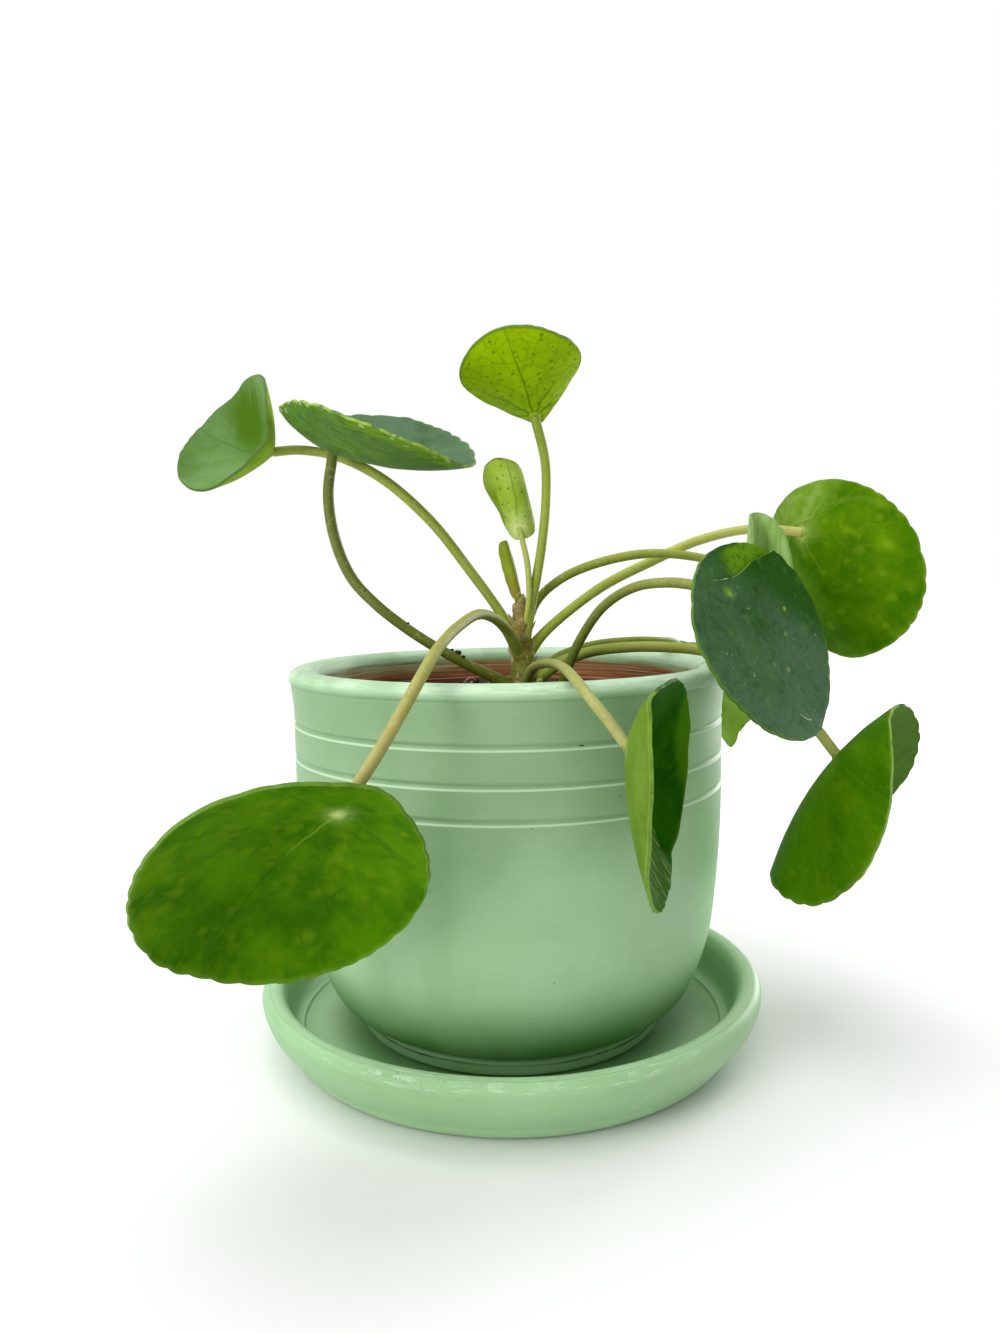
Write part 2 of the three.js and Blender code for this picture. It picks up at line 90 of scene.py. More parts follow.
# Outline of the pot, from inside the foot ring up the outside, over the rim and down inside
POT_FOOT = [(37, 5.8), (42.9, 5.8), (43.5, 6.5), (43.45, 8), (43.1, 9.6), (42.5, 10.1)]
POT_BODY = [
    (42.5, 10.1), (42.9, 10.75), (44.0, 10.9), (45.6, 11.6), (48.1, 13), (51.6, 17), (54.4, 23),
    (57.2, 32), (58.3, 38.5), (59, 45), (59.65, 52.5), (60.1, 60), (60.4, 67.5), (60.55, 73.6),
]
GROOVE_BOTTOMS = [75, 83.4, 92.6]
GROOVE = [
    (60.56, -0.9), (60.64, -0.25), (60.56, 0.05), (60.24, 0.5), (60.14, 0.9), (60.2, 1.15),
    (60.44, 1.45), (60.56, 1.7), (60.6, 1.9), (60.56, 2.6),
]
POT_RIM = [
    (60.6, 96.8), (60.85, 99.4), (61.15, 101.8), (61.35, 103.5), (61.36, 104.0),
    (61.66, 104.4), (61.84, 105.1), (61.74, 106.1), (61.1, 107.2), (59.9, 107.9),
    (58.3, 108.12), (56.8, 108.1), (55.3, 107.6), (54.1, 106.6), (53.45, 105),
]
POT_INSIDE = [
    (53.45, 105), (53.3, 103.6), (53.05, 101.8), (53.0, 99), (53, 95), (52.9, 90), (52.2, 66),
    (51.3, 45), (49.3, 32), (50, 24), (43, 17.6), (34, 14.5), (20, 14.5), (6, 14.5),
]
POT_UNDER = [(6, 14.5), (6, 9.2), (20, 9.0), (35.5, 9.0), (37, 5.8)]

# Stalks: colour at the stem and at the leaf, radius, and a line of points in millimetres
STALKS = {
    "far_left": ((139, 156, 50), (150, 160, 66), 1.5, [
        (3, 0, 111.5), (-0.5, 1, 120), (-10.5, 3.5, 134.5), (-22, 7, 149.2), (-36.5, 11, 162),
        (-50, 14, 168.8), (-61, 15, 170.8)]),
    "upper_left": ((94, 106, 20), (100, 108, 40), 1.6, [
        (4.5, -1, 98.5), (-1, -1.5, 102.2), (-10.5, -3, 107.2), (-20, -4, 112.7),
        (-29, -3, 118.6), (-37, -2, 125), (-44, 0, 132.5), (-49, 3, 143.5), (-51, 5, 156.5)]),
    "top": ((159, 172, 65), (136, 154, 47), 1.4, [
        (5, -1, 114), (7.4, -1, 125.7), (10.1, -1, 139.8), (11.6, -1, 154), (11.5, 0, 165)]),
    "small": ((184, 194, 88), (171, 182, 98), 0.85, [
        (5, -1.5, 117), (6.4, -2.7, 126), (6.1, -2.7, 136)]),
    "right": ((157, 174, 56), (189, 190, 107), 1.5, [
        (5, 1, 109), (11.3, 2.5, 116.5), (27.6, 8, 128.7), (43, 12, 136.2), (58.7, 17, 142.6),
        (75, 21, 145.8)]),
    "behind_right": ((122, 138, 36), (162, 170, 74), 1.35, [
        (4.8, 1.5, 116), (8.9, 4, 125.3), (15.6, 4, 131.3), (24.7, 4, 135.4), (38.4, 3, 138.3),
        (50.5, 3, 138), (63, 5, 135)]),
    "big_right": ((98, 120, 22), (146, 149, 77), 1.4, [
        (8, -2, 92), (14, -3, 97), (16.8, -5, 105.6), (20.4, -9, 114.6), (26.4, -16, 124.2),
        (34, -23, 129.3), (42, -29, 130.4), (49, -33.5, 129.4)]),
    "low_right": ((140, 152, 54), (166, 168, 92), 1.6, [
        (5, 1, 100), (14.7, 0, 107.2), (23.8, -1, 110.6), (35, -3, 112), (45, -5, 112),
        (55, -7, 111.1), (61, -8.4, 109.6), (66.5, -9.5, 106.9), (75, -11.1, 100),
        (84.3, -13, 90.5)]),
    "hidden_right": ((114, 136, 39), (156, 165, 70), 1.3, [
        (5, 1.5, 101), (15.6, 6, 109), (25.4, 10, 111.8), (37.3, 15, 112.6), (47, 21, 112),
        (53, 27.5, 110.8), (57, 33, 106.5)]),
    "front_right": ((138, 148, 66), (161, 160, 98), 1.3, [
        (4.5, -1.5, 99), (6.6, -14, 106.8), (9.8, -29, 110), (13, -48, 110.8),
        (15.2, -64, 109.3), (18, -71, 105.8), (22, -75.5, 100.8)]),
    "big_left": ((136, 148, 48), (172, 162, 100), 1.45, [
        (4.3, 0, 109), (-0.6, -10, 118.6), (-6.5, -25, 122.8), (-12, -42, 120.4),
        (-16.2, -57, 115.9), (-19.4, -65.5, 110.4), (-23.5, -72, 103), (-28.5, -78.5, 94.5)]),
}
# Stalks without a joint at their end: points, radius, colours
SHORT_STALKS = [
    ([(6, -2, 98), (8.4, -5, 101), (9.4, -6.4, 103.6)], 1.05, ((132, 140, 58), (172, 186, 96))),
    ([(4, -0.6, 120), (3.8, -0.9, 123.5), (3.45, -1.5, 126.2), (3.2, -1.8, 128.2)], 1.15,
     ((112, 100, 40), (134, 140, 44))),
]
# Crumbs lying on a stalk: place, and size along the three ways, in millimetres
STRAY_CRUMBS = [
    ((-14.0, -3.6, 111.1), (2.4, 1.5, 1.7)), ((-15.6, -3.8, 111.9), (1.3, 1.0, 1.0)),
    ((-12.4, -4.2, 110.0), (1.5, 0.9, 0.9)), ((-28.0, -3.4, 119.7), (1.1, 0.8, 0.7)),
]

# Papery scales where stalks leave the stem: height, and degrees round it from +X
SCALES = [(103, 250), (106, 310), (108, 20), (110, 200), (114, 275), (117, 340), (119, 215),
          (121.5, 262), (124, 285)]

# Blades. at: the joint; up: the way the upper face looks; tip: the way the tip points; offset:
# how far the middle lies from the joint, as a share of half the length; fold: degrees that each
# side is folded up along a line, over a radius of bow; skew and shift: how that line is turned
# and moved aside; bend: its curvature, per metre; grow: how much more the sides fold toward the
# tip; twist: degrees that the tip is turned about the line; cup: how deep the blade is dished;
# sectors: a little over the number of its teeth; uneven: how much those vary; lift: how much the
# part behind the joint rises; slit: a cut from start toward the edge at angle, whose sides lap
# by lap degrees, the under one lowered by drop at the cut and less as far as span degrees on
BLADES = {
    "far_left": dict(
        at=(-69.3, 15, 170.5), up=(-0.81, -0.37, 0.46), tip=(-0.46, 0.88, -0.1),
        length=44, width=42, offset=0.36, fold=17, bow=7, skew=-5, bend=13,
        grow=-0.13, twist=9, cup=0.36, shift=0.8, sectors=32),
    "upper_left": dict(
        at=(-49.2, 5, 169), up=(0.35, -0.14, 0.93), tip=(0.92, -0.13, -0.37),
        length=60, width=57, offset=0.41, fold=41, bow=17, skew=-8, bend=14,
        grow=-0.25, twist=5, cup=-0.04, shift=0, sectors=36, uneven=0.15, lift=0.009),
    "top": dict(
        at=(8.6, 0, 177.8), up=(-0.1, 0.55, 0.83), tip=(-0.26, -0.82, 0.51),
        length=36, width=35, offset=0.71, fold=34, bow=1.6, skew=-1, bend=9,
        grow=-0.73, twist=-3, cup=0, shift=0.1, sectors=26),
    "small": dict(
        at=(4, -2, 145.9), up=(-0.14, 0.97, 0.18), tip=(-0.13, -0.2, 0.97),
        length=23, width=20.6, offset=0.73, fold=73, bow=3.2, skew=1, bend=-9,
        grow=-0.05, twist=18, cup=0.07, shift=1.4, sectors=22),
    "bud": dict(
        at=(3.3, -2.2, 126.6), up=(-0.2, 0.97, -0.05), tip=(-0.22, -0.02, 0.97),
        length=17, width=8.5, offset=0.93, fold=72, bow=0.9, skew=0, bend=6,
        grow=0, twist=0, cup=0, shift=0, sectors=18),
    "right": dict(
        at=(91.9, 25, 144.9), up=(0.82, 0.58, 0.02), tip=(0.26, -0.34, -0.9),
        length=57, width=54, offset=0.46, fold=18, bow=10, skew=3, bend=0,
        grow=-0.02, twist=-1, cup=0.22, shift=0, sectors=36),
    "behind_right": dict(
        at=(70.2, 1, 129), up=(0.22, -0.96, -0.1), tip=(0.02, -0.1, -0.99),
        length=44, width=31, offset=0.06, fold=76, bow=3, skew=0, bend=6,
        grow=0.1, twist=0, cup=0, shift=0, sectors=28),
    "big_right": dict(
        at=(54.3, -40, 128), up=(0.58, -0.75, 0.31), tip=(0.61, 0.15, -0.77),
        length=55, width=52, offset=0.59, fold=4, bow=13, skew=0, bend=0,
        grow=0, twist=-6, cup=0, shift=0, sectors=36,
        slit=dict(start=(-5, -2), angle=119, lap=1.1, drop=1.5, span=75)),
    "low_right": dict(
        at=(90.5, -15, 82.2), up=(0.75, -0.26, -0.6), tip=(-0.5, 0.36, -0.78),
        length=61, width=59, offset=0.33, fold=39, bow=17, skew=3, bend=-3,
        grow=0, twist=-6, cup=0.21, shift=-2.3, sectors=36),
    "hidden_right": dict(
        at=(60, 36.5, 100.2), up=(0.85, 0.3, 0.4), tip=(0.28, 0.12, -0.95),
        length=38, width=36, offset=0.4, fold=35, bow=8, skew=0, bend=4,
        grow=0, twist=0, cup=0.05, shift=0, sectors=26),
    "front_right": dict(
        at=(25.2, -78, 96.5), up=(0.94, -0.24, -0.24), tip=(-0.11, 0.46, -0.88),
        length=53, width=51, offset=0.4, fold=16, bow=6, skew=14, bend=11,
        grow=-0.19, twist=0, cup=0.14, shift=0.2, sectors=34),
    "big_left": dict(
        at=(-35.3, -84, 84.3), up=(0.01, -0.71, -0.7), tip=(-0.75, 0.46, -0.48),
        length=66, width=63, offset=0.55, fold=11, bow=11, skew=1, bend=7,
        grow=-0.06, twist=-5, cup=0.16, shift=0, sectors=36, uneven=0.2),
}

# Finish of a leaf face, colours as 0 to 255 on screen. deep and fresh: the two greens that clouds
# mix; spot: soft pale blotches; rib: veins; middle and spine: the midrib, light near the joint and
# then dark; net: the small veins; hub: the joint; rim: the margin; sky_sheen: a painted reflection
# of the bright sky, dull and bluish; dot: small specks; quilt: how far the leaf is raised between
# its veins, and how dark the painted shade is in the low lines between them; ridges: dark lines
# along it; edge and near_edge: the cut edge on its far and near side, the near one up to
# near_edge_to mm and broken by gaps, and where paler, painted light along that edge. spots, ribs,
# rims, sky_sheens and dots: how strongly they show.
FACE = dict(
    deep=(50, 100, 0), fresh=(76, 126, 0), spot=(112, 146, 4), spots=0.3, rib=(118, 150, 36),
    ribs=0.12, middle=0.5, spine=0.3, spine_at=0.55, net=0.06, hub=(184, 204, 120), hub_size=2.0,
    rim=(104, 140, 34), rims=0.5, rough=0.48, shine=0.02, dots=0.0, dot=(60, 90, 10),
    sky_sheen=(150, 180, 140), sky_sheens=0.0, quilt=0.3, ridges=0.0, edge=(98, 132, 34),
    near_edge=(98, 132, 34), near_edge_to=99.0, gaps=0.3,
)
WARM_UNDER = dict(FACE, deep=(58, 108, 2), fresh=(86, 132, 2), spot=(126, 154, 18), rough=0.55)
# Upper face turned to the bright sky: its greens greyed and blued, and clouded over, by a painted
# reflection of the sky
SKY_SHEEN_UPPER = dict(
    FACE, deep=(40, 78, 26), fresh=(54, 92, 34), spot=(66, 108, 20), spots=0.15,
    rib=(84, 118, 72), middle=0.12, spine=0.1, rim=(112, 144, 70),
    sky_sheen=(66, 98, 62), sky_sheens=0.6, rough=0.5, shine=0.05, quilt=0.2, hub_size=1.2,
)
# Young leaf: light green, made brighter still by painted light shining through it from behind
YOUNG = dict(
    FACE, deep=(136, 172, 2), fresh=(156, 192, 4), spot=(170, 204, 20),
    rib=(76, 116, 2), ribs=0.75, middle=0.8, spine=0.0, spine_at=3.0, net=0.3,
    hub=(176, 196, 90), rim=(96, 126, 16), rims=0.8, dots=0.85, dot=(70, 104, 4),
)
SMALL = dict(
    YOUNG, deep=(150, 178, 60), fresh=(176, 202, 90), rim=(104, 132, 30), ribs=0.3, net=0.12,
    middle=0.5, hub=(206, 218, 140), hub_size=3.6, edge=(112, 138, 34), near_edge=(112, 138, 34))
# Upper and under face of each blade. Their greens are set leaf by leaf to the light on each, so
# they carry painted light and shade: darker where a face lies in shadow, a painted sky reflection
# on faces turned up, and painted light shining through faces lit from behind.
LOOKS = {
    "far_left": (
        dict(SKY_SHEEN_UPPER, deep=(82, 120, 42), fresh=(100, 138, 60), sky_sheen=(114, 150, 90),
             sky_sheens=0.75, rim=(96, 124, 70), ribs=0.14, rims=0.2, middle=0.2, spine=0.6,
             spine_at=0.2, quilt=0.5),
        dict(WARM_UNDER, deep=(112, 150, 8), fresh=(136, 172, 26), rim=(100, 132, 50),
             rims=0.2, edge=(82, 110, 44), near_edge=(82, 110, 44))),
    "upper_left": (
        dict(SKY_SHEEN_UPPER, deep=(54, 90, 50), fresh=(72, 106, 62), sky_sheen=(94, 124, 94), sky_sheens=0.7),
        dict(WARM_UNDER, deep=(66, 104, 30), fresh=(90, 128, 40), rim=(142, 174, 64),
             sky_sheen=(82, 118, 60), sky_sheens=0.6, dots=0.16, dot=(176, 206, 130),
             spot=(112, 148, 36), edge=(92, 122, 66), near_edge=(150, 180, 70), gaps=0.95)),
    "top": (
        YOUNG, dict(YOUNG, deep=(140, 174, 6), fresh=(154, 188, 10), spots=0.15,
                          hub=(150, 176, 36), hub_size=1.4, middle=0.7)),
    "small": (dict(SMALL, middle=0.3), SMALL),
    "bud": (dict(YOUNG, deep=(124, 142, 30), fresh=(146, 162, 50), dots=0.0, net=0.1, ribs=0.0,
                 middle=0.0, hub=(150, 130, 60), hub_size=4.5),) * 2,
    "right": (
        FACE,
        dict(WARM_UNDER, deep=(58, 106, 0), fresh=(84, 127, 0), spot=(128, 156, 18), spots=0.25,
             hub=(178, 196, 110), hub_size=2.6, middle=0.4, spine=0.0, rim=(120, 152, 50))),
    "behind_right": (
        dict(SKY_SHEEN_UPPER, deep=(142, 178, 92), fresh=(164, 196, 116), sky_sheen=(182, 210, 142),
             sky_sheens=0.4, ridges=0.5, edge=(128, 160, 84), near_edge=(128, 160, 84)),) * 2,
    "big_right": (
        dict(SKY_SHEEN_UPPER, deep=(48, 86, 40), fresh=(62, 100, 50), sky_sheen=(76, 108, 80),
             hub=(132, 168, 60), rim=(104, 146, 60), shine=0.02, quilt=0.85,
             net=0.1, ribs=0.04, middle=0.0, spine=0.5, spine_at=0.15),
        dict(WARM_UNDER, deep=(64, 110, 20), fresh=(92, 136, 36), rim=(104, 150, 50),
             edge=(100, 142, 34), near_edge=(88, 124, 52))),
    "low_right": (
        dict(SKY_SHEEN_UPPER, deep=(60, 100, 16), fresh=(78, 116, 26), sky_sheen=(84, 122, 44),
             rim=(72, 104, 36), ribs=0.3, rib=(50, 88, 20), ridges=0.35, rims=0.7),
        dict(WARM_UNDER, deep=(54, 102, 0), fresh=(74, 120, 2), dots=0.25, dot=(110, 150, 40),
             spots=0.12, rim=(120, 152, 50), rims=0.3, edge=(66, 100, 24),
             near_edge=(140, 170, 86), near_edge_to=17.0)),
    "hidden_right": (
        dict(FACE, deep=(158, 186, 74), fresh=(180, 206, 104)),
        dict(WARM_UNDER, deep=(158, 186, 74), fresh=(180, 206, 104))),
    "front_right": (
        dict(FACE, deep=(14, 66, 0), fresh=(30, 82, 0), rough=0.5, shine=0.006, ribs=0.04,
             net=0.02, middle=0.1, rim=(70, 110, 20), spots=0.2, spot=(60, 110, 4)),
        dict(WARM_UNDER, deep=(92, 124, 34), fresh=(106, 138, 48), spot=(120, 152, 56),
             rim=(140, 174, 78), edge=(56, 92, 18), near_edge=(114, 148, 58))),
    "big_left": (
        dict(FACE, spots=0.45, spot=(92, 132, 4), middle=0.6, spine=0.5, rim=(110, 146, 50)),
        dict(WARM_UNDER, edge=(100, 138, 46), near_edge=(100, 138, 46))),
}
# How deep the waved edge of a blade is cut, against the usual 0.3 mm
TEETH = {
    "far_left": 0.35, "upper_left": 1.9, "top": 0.5, "small": 0.2, "bud": 0.0, "right": 1.2,
    "behind_right": 0.8, "big_right": 1.4, "low_right": 1.1, "hidden_right": 0.8,
    "front_right": 0.8, "big_left": 1.2,
}
# Share of its full size that a blade is drawn at, where the plant's is a little smaller
TRIM = {"big_right": 0.98, "right": 0.987, "top": 0.99}
# Where an outline strays from round: angle from the tip, half width of the stretch, both in
# radians, and how far it goes in (below 0) or out, as a share
DENTS = {
    "small": [(0.8, 0.7, -0.25), (-0.3, 0.5, 0.07), (4.35, 0.42, -0.2), (2.0, 0.45, -0.25)],
    "top": [(math.pi, 0.6, -0.07)],
    "far_left": [(5.55, 0.4, -0.065)],
    "upper_left": [(5.15, 0.5, 0.06), (3.3, 0.35, 0.04)],
    "low_right": [(2.9, 0.4, 0.04)],
    "bud": [(4.6, 0.7, -0.3)],
    "right": [(3.1, 0.4, -0.06)],
    "big_right": [(1.3, 0.5, 0.03), (2.75, 0.45, -0.03), (3.65, 0.4, -0.03)],
    "hidden_right": [(5.75, 0.4, -0.08), (0.0, 0.25, 0.17)],
}
SLOTS = {
    "far_left": "blade_cool", "upper_left": "blade_cool", "behind_right": "blade_cool",
    "big_right": "blade_cool", "top": "blade_young", "small": "blade_young",
    "bud": "blade_young", "right": "blade_warm", "low_right": "blade_warm",
    "hidden_right": "blade_warm", "front_right": "blade_warm", "big_left": "blade_warm",
}

# Camera, as the picture was taken: place in metres, pitch, roll and yaw in degrees, lens in mm
CAMERA_PLACE = (-0.0004, -0.287, 0.133)
CAMERA_TURN = (5.24, -0.81, -0.33)
CAMERA_LENS = 36 * 1000 / 1333


# ---------------------------------------------------------------- colours and small sums

def linear(colour):
    """Screen colour, 0 to 255, as the linear colour that a shader takes."""
    out = []
    for part in colour:
        share = part / 255
        out.append(share / 12.92 if share <= 0.04045 else ((share + 0.055) / 1.055) ** 2.4)
    return (*out, 1.0)


def radians(degrees):
    return degrees * math.pi / 180


def smooth_line(points, steps):
    """Points along a centripetal spline through the given points, `steps` to each stretch."""
    points = [Vector(p) for p in points]
    line = []
    for i in range(len(points) - 1):
        p1, p2 = points[i], points[i + 1]
        p0 = points[i - 1] if i else p1 + (p1 - p2)
        p3 = points[i + 2] if i + 2 < len(points) else p2 + (p2 - p1)
        d0, d1, d2 = ((b - a).length ** 0.5 for a, b in ((p0, p1), (p1, p2), (p2, p3)))
        t1 = ((p1 - p0) / d0 - (p2 - p0) / (d0 + d1) + (p2 - p1) / d1) * d1
        t2 = ((p2 - p1) / d1 - (p3 - p1) / (d1 + d2) + (p3 - p2) / d2) * d1
        for k in range(steps):
            t = k / steps
            line.append(p1 + t1 * t + (-3 * p1 + 3 * p2 - 2 * t1 - t2) * t * t
                        + (2 * p1 - 2 * p2 + t1 + t2) * t ** 3)
    line.append(points[-1])
    return line


# ---------------------------------------------------------------- work at the bench

def put_down():
    """Leaves edit mode and selects nothing."""
    if bpy.context.object and bpy.context.object.mode != "OBJECT":
        bpy.ops.object.mode_set(mode="OBJECT")
    bpy.ops.object.select_all(action="DESELECT")


def take_up(*pieces):
    """Selects the pieces, the first one active."""
    put_down()
    for piece in pieces:
        piece.select_set(True)
    bpy.context.view_layer.objects.active = pieces[0]


def pick(action="SELECT"):
    bpy.ops.mesh.select_all(action=action)


def open_up(piece, mode="VERT"):
    """Opens the piece in edit mode, with all of it picked."""
    take_up(piece)
    bpy.ops.object.mode_set(mode="EDIT")
    bpy.ops.mesh.select_mode(type=mode)
    pick()


def close_up():
    bpy.ops.object.mode_set(mode="OBJECT")


def settle(piece):
    """Puts the piece's place, turn and size into its mesh, so that it sits at the origin."""
    take_up(piece)
    bpy.ops.object.transform_apply(location=True, rotation=True, scale=True)


def clean(piece, distance=2e-6):
    """Merges points that lie on each other and turns the faces outward."""
    open_up(piece)
    bpy.ops.mesh.remove_doubles(threshold=distance)
    bpy.ops.mesh.normals_make_consistent(inside=False)
    close_up()


def apply_modifier(piece, kind, **values):
    take_up(piece)
    bpy.ops.object.modifier_add(type=kind)
    modifier = piece.modifiers[-1]
    for key, value in values.items():
        setattr(modifier, key, value)
    bpy.ops.object.modifier_apply(modifier=modifier.name)


def roughen(piece, name, size, strength, middle=0.5, depth=2, **values):
    """Pushes the surface in and out by a cloud pattern, whose features have a size in metres."""
    clouds = bpy.data.textures.get(name) or bpy.data.textures.new(name, "CLOUDS")
    clouds.noise_scale = size
    clouds.noise_depth = depth
    apply_modifier(piece, "DISPLACE", texture=clouds, strength=strength, mid_level=middle,
                   texture_coords="LOCAL", **values)


def pull(rise, widen, centre=(0, 0, 0), edges=False):
    """Extrudes what is picked by a rise, all in metres, and widens it about the centre."""
    extrude = bpy.ops.mesh.extrude_edges_move if edges else bpy.ops.mesh.extrude_region_move
    extrude(TRANSFORM_OT_translate={"value": rise})
    bpy.ops.transform.resize(value=(widen, widen, 1), center_override=centre)


def close_middle():
    """Draws the picked edge of a disc together in its middle."""
    bpy.ops.mesh.extrude_edges_move()
    bpy.ops.mesh.merge(type="CENTER")


def add_circle(sides, radius, height=0.0, fill="NGON"):
    """Circle round Z in metres, with its place in its mesh."""
    bpy.ops.mesh.primitive_circle_add(vertices=sides, radius=radius, fill_type=fill,
                                      location=(0, 0, height))
    settle(bpy.context.object)
    return bpy.context.object


def coat(piece, *materials):
    for material in materials:
        piece.data.materials.append(material)


def smooth(piece, angle=None):
    take_up(piece)
    if angle is None:
        bpy.ops.object.shade_smooth()
    else:
        bpy.ops.object.shade_smooth_by_angle(angle=radians(angle), keep_sharp_edges=True)


def finish_piece(piece, name, slot, *nodes):
    """Names the piece, seats it on the plant and lets it stand for its nodes."""
    put_down()
    piece.name = name
    piece.data.name = name
    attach(piece, "root")
    if nodes:
        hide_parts(*nodes)
    return piece


def throw(outline, steps):
    """Turned clay: one point is extruded along the outline, and the line is spun round Z."""
    first = Vector((outline[0][0], 0, outline[0][1])) * MM
    bpy.ops.mesh.primitive_plane_add(size=MM, location=first)
    piece = bpy.context.object
    settle(piece)
    open_up(piece)
    bpy.ops.mesh.merge(type="CENTER")
    last = first
    for radius, height in outline[1:]:
        place = Vector((radius, 0, height)) * MM
        bpy.ops.mesh.extrude_vertices_move(TRANSFORM_OT_translate={"value": place - last})
        last = place
    pick()
    bpy.ops.mesh.spin(steps=steps, dupli=False, angle=2 * math.pi, center=(0, 0, 0),
                      axis=(0, 0, 1))
    close_up()
    clean(piece)
    return piece


def turn_clay(outline, settings, unevenness, look):
    """A turned piece, a little uneven and painted."""
    piece = throw(outline, settings.sides)
    roughen(piece, "thrown_clay", CLAY_LUMPS, unevenness, 1.0)
    smooth(piece, 50)
    coat(piece, look(settings))
    return piece


def sample(outline, steps):
    """Smooth outline of radius and height through the given points."""
    return [(p.x, p.y) for p in smooth_line([(r, h, 0) for r, h in outline], steps)]


# ---------------------------------------------------------------- shader wiring

class Value:
    """What a node gives out. Each sum of values adds a node: plain maths for numbers, vector
    maths for vectors. A colour times three numbers is that colour tinted."""

    def __init__(self, socket):
        self.socket = socket
        self.wire = Wiring(socket.id_data)

    def reckon(self, operation, a, b=None):
        kind = self.socket.type
        if kind == "VALUE":
            return self.wire.sum(operation, a, b)
        if operation != "MULTIPLY":
            return self.wire.vector(operation, a, b)
        if kind == "RGBA":
            return self.wire.mix(1.0, a, (*b, 1.0), "MULTIPLY")
        if isinstance(b, tuple):
            return self.wire.vector("MULTIPLY", a, b)
        return self.wire.vector("SCALE", a, scale=b)

    def __add__(self, other):
        return self.reckon("ADD", self, other)

    def __radd__(self, other):
        return self.reckon("ADD", other, self)

    def __sub__(self, other):
        return self.reckon("SUBTRACT", self, other)

    def __rsub__(self, other):
        return self.reckon("SUBTRACT", other, self)

    def __mul__(self, other):
        return self.reckon("MULTIPLY", self, other)

    def __truediv__(self, other):
        return self.reckon("DIVIDE", self, other)

    def __rtruediv__(self, other):
        return self.reckon("DIVIDE", other, self)

    def __abs__(self):
        return self.reckon("ABSOLUTE", self)

    def __lt__(self, other):
        return self.reckon("LESS_THAN", self, other)

    def __gt__(self, other):
        return self.reckon("GREATER_THAN", self, other)

    @property
    def length(self):
        return self.wire.vector("LENGTH", self)


class Wiring:
    """Short hand for nodes: each call adds a node and gives the value that comes out of it."""

    def __init__(self, tree):
        self.tree = tree

    def make(self, kind, sockets=None, **values):
        node = self.tree.nodes.new(kind)
        for key, value in values.items():
            setattr(node, key, value)
        for key, value in (sockets or {}).items():
            if value is not None:
                self.feed(node.inputs[key], value)
        return node

    def node(self, kind, sockets=None, **values):
        """Adds a node; gives all that comes out of it, by name."""
        node = self.make(kind, sockets, **values)
        return {socket.name: Value(socket) for socket in node.outputs}

    def feed(self, socket, value):
        if isinstance(value, Value):
            self.tree.links.new(value.socket, socket)
        else:
            socket.default_value = value

    def sum(self, operation, a, b=None, c=None, clamp=False):
        return self.node("ShaderNodeMath", {0: a, 1: b, 2: c}, operation=operation,
                         use_clamp=clamp)["Value"]

    def vector(self, operation, a, b=None, scale=None):
        return self.node("ShaderNodeVectorMath", {0: a, 1: b, "Scale": scale},
                         operation=operation)["Value" if operation == "LENGTH" else "Vector"]

    def split(self, vector):
        return list(self.node("ShaderNodeSeparateXYZ", {"Vector": vector}).values())

    def join(self, x=0.0, y=0.0, z=0.0):
        return self.node("ShaderNodeCombineXYZ", {"X": x, "Y": y, "Z": z})["Vector"]

    def reach(self, x, y):
        return self.join(x, y).length

    def noise(self, vector, scale, detail=3.0, rough=0.5, warp=0.0, out="Fac"):
        return self.node("ShaderNodeTexNoise", {
            "Vector": vector, "Scale": scale, "Detail": detail, "Roughness": rough,
            "Distortion": warp})[out]

    def step(self, value, low, high, out_low=0.0, out_high=1.0):
        """Smooth step of the value from low to high."""
        return self.node("ShaderNodeMapRange", {
            "Value": value, "From Min": low, "From Max": high, "To Min": out_low,
            "To Max": out_high}, interpolation_type="SMOOTHSTEP")["Result"]

    def line(self, value, at, wide, sharp=0.05):
        """Mask of a thin line where the value comes to `at`."""
        return self.step(abs(value - at), wide, sharp)

    def mix(self, share, a, b, blend="MIX"):
        return Value(self.make("ShaderNodeMix", {0: share, 6: a, 7: b}, data_type="RGBA",
                               blend_type=blend).outputs[2])

    def tint(self, under, share, over):
        """Lays one colour over another; three numbers are a colour as on the screen."""
        return self.mix(share, *(linear(colour) if isinstance(colour, tuple) else colour
                                 for colour in (under, over)))

    def group(self, name, **sockets):
        return self.node("ShaderNodeGroup", sockets, node_tree=bpy.data.node_groups[name])

    def dots(self, vector, spacing, radius, share, seed):
        return self.group("dots", Vector=vector, Spacing=spacing, Radius=radius, Share=share,
                          Seed=seed)["Mask"]

    def place(self):
        """Object coordinates in millimetres."""
        return self.node("ShaderNodeTexCoord")["Object"] * 1000.0

    def flat_map(self):
        """Place on the flat map of a blade in millimetres: joint at the origin, tip along +X."""
        return (self.node("ShaderNodeUVMap", uv_map="flat")["UV"]
                - (*FLAT_MAP_JOINT, 0.0)) * FLAT_MAP_SPAN

    def bump(self, height, strength, distance):
        return self.node("ShaderNodeBump", {
            "Height": height, "Strength": strength, "Distance": distance})["Normal"]

    def finish(self, colour, rough, relief=None, shine=None):
        """Feeds the shader and gives the material. Relief is height, strength and depth."""
        inputs = self.shader.inputs
        self.feed(inputs["Base Color"], colour)
        self.feed(inputs["Roughness"], rough)
        if relief:
            self.feed(inputs["Normal"], self.bump(*relief))
        if shine is not None:
            inputs["Specular IOR Level"].default_value = shine
        return self.material


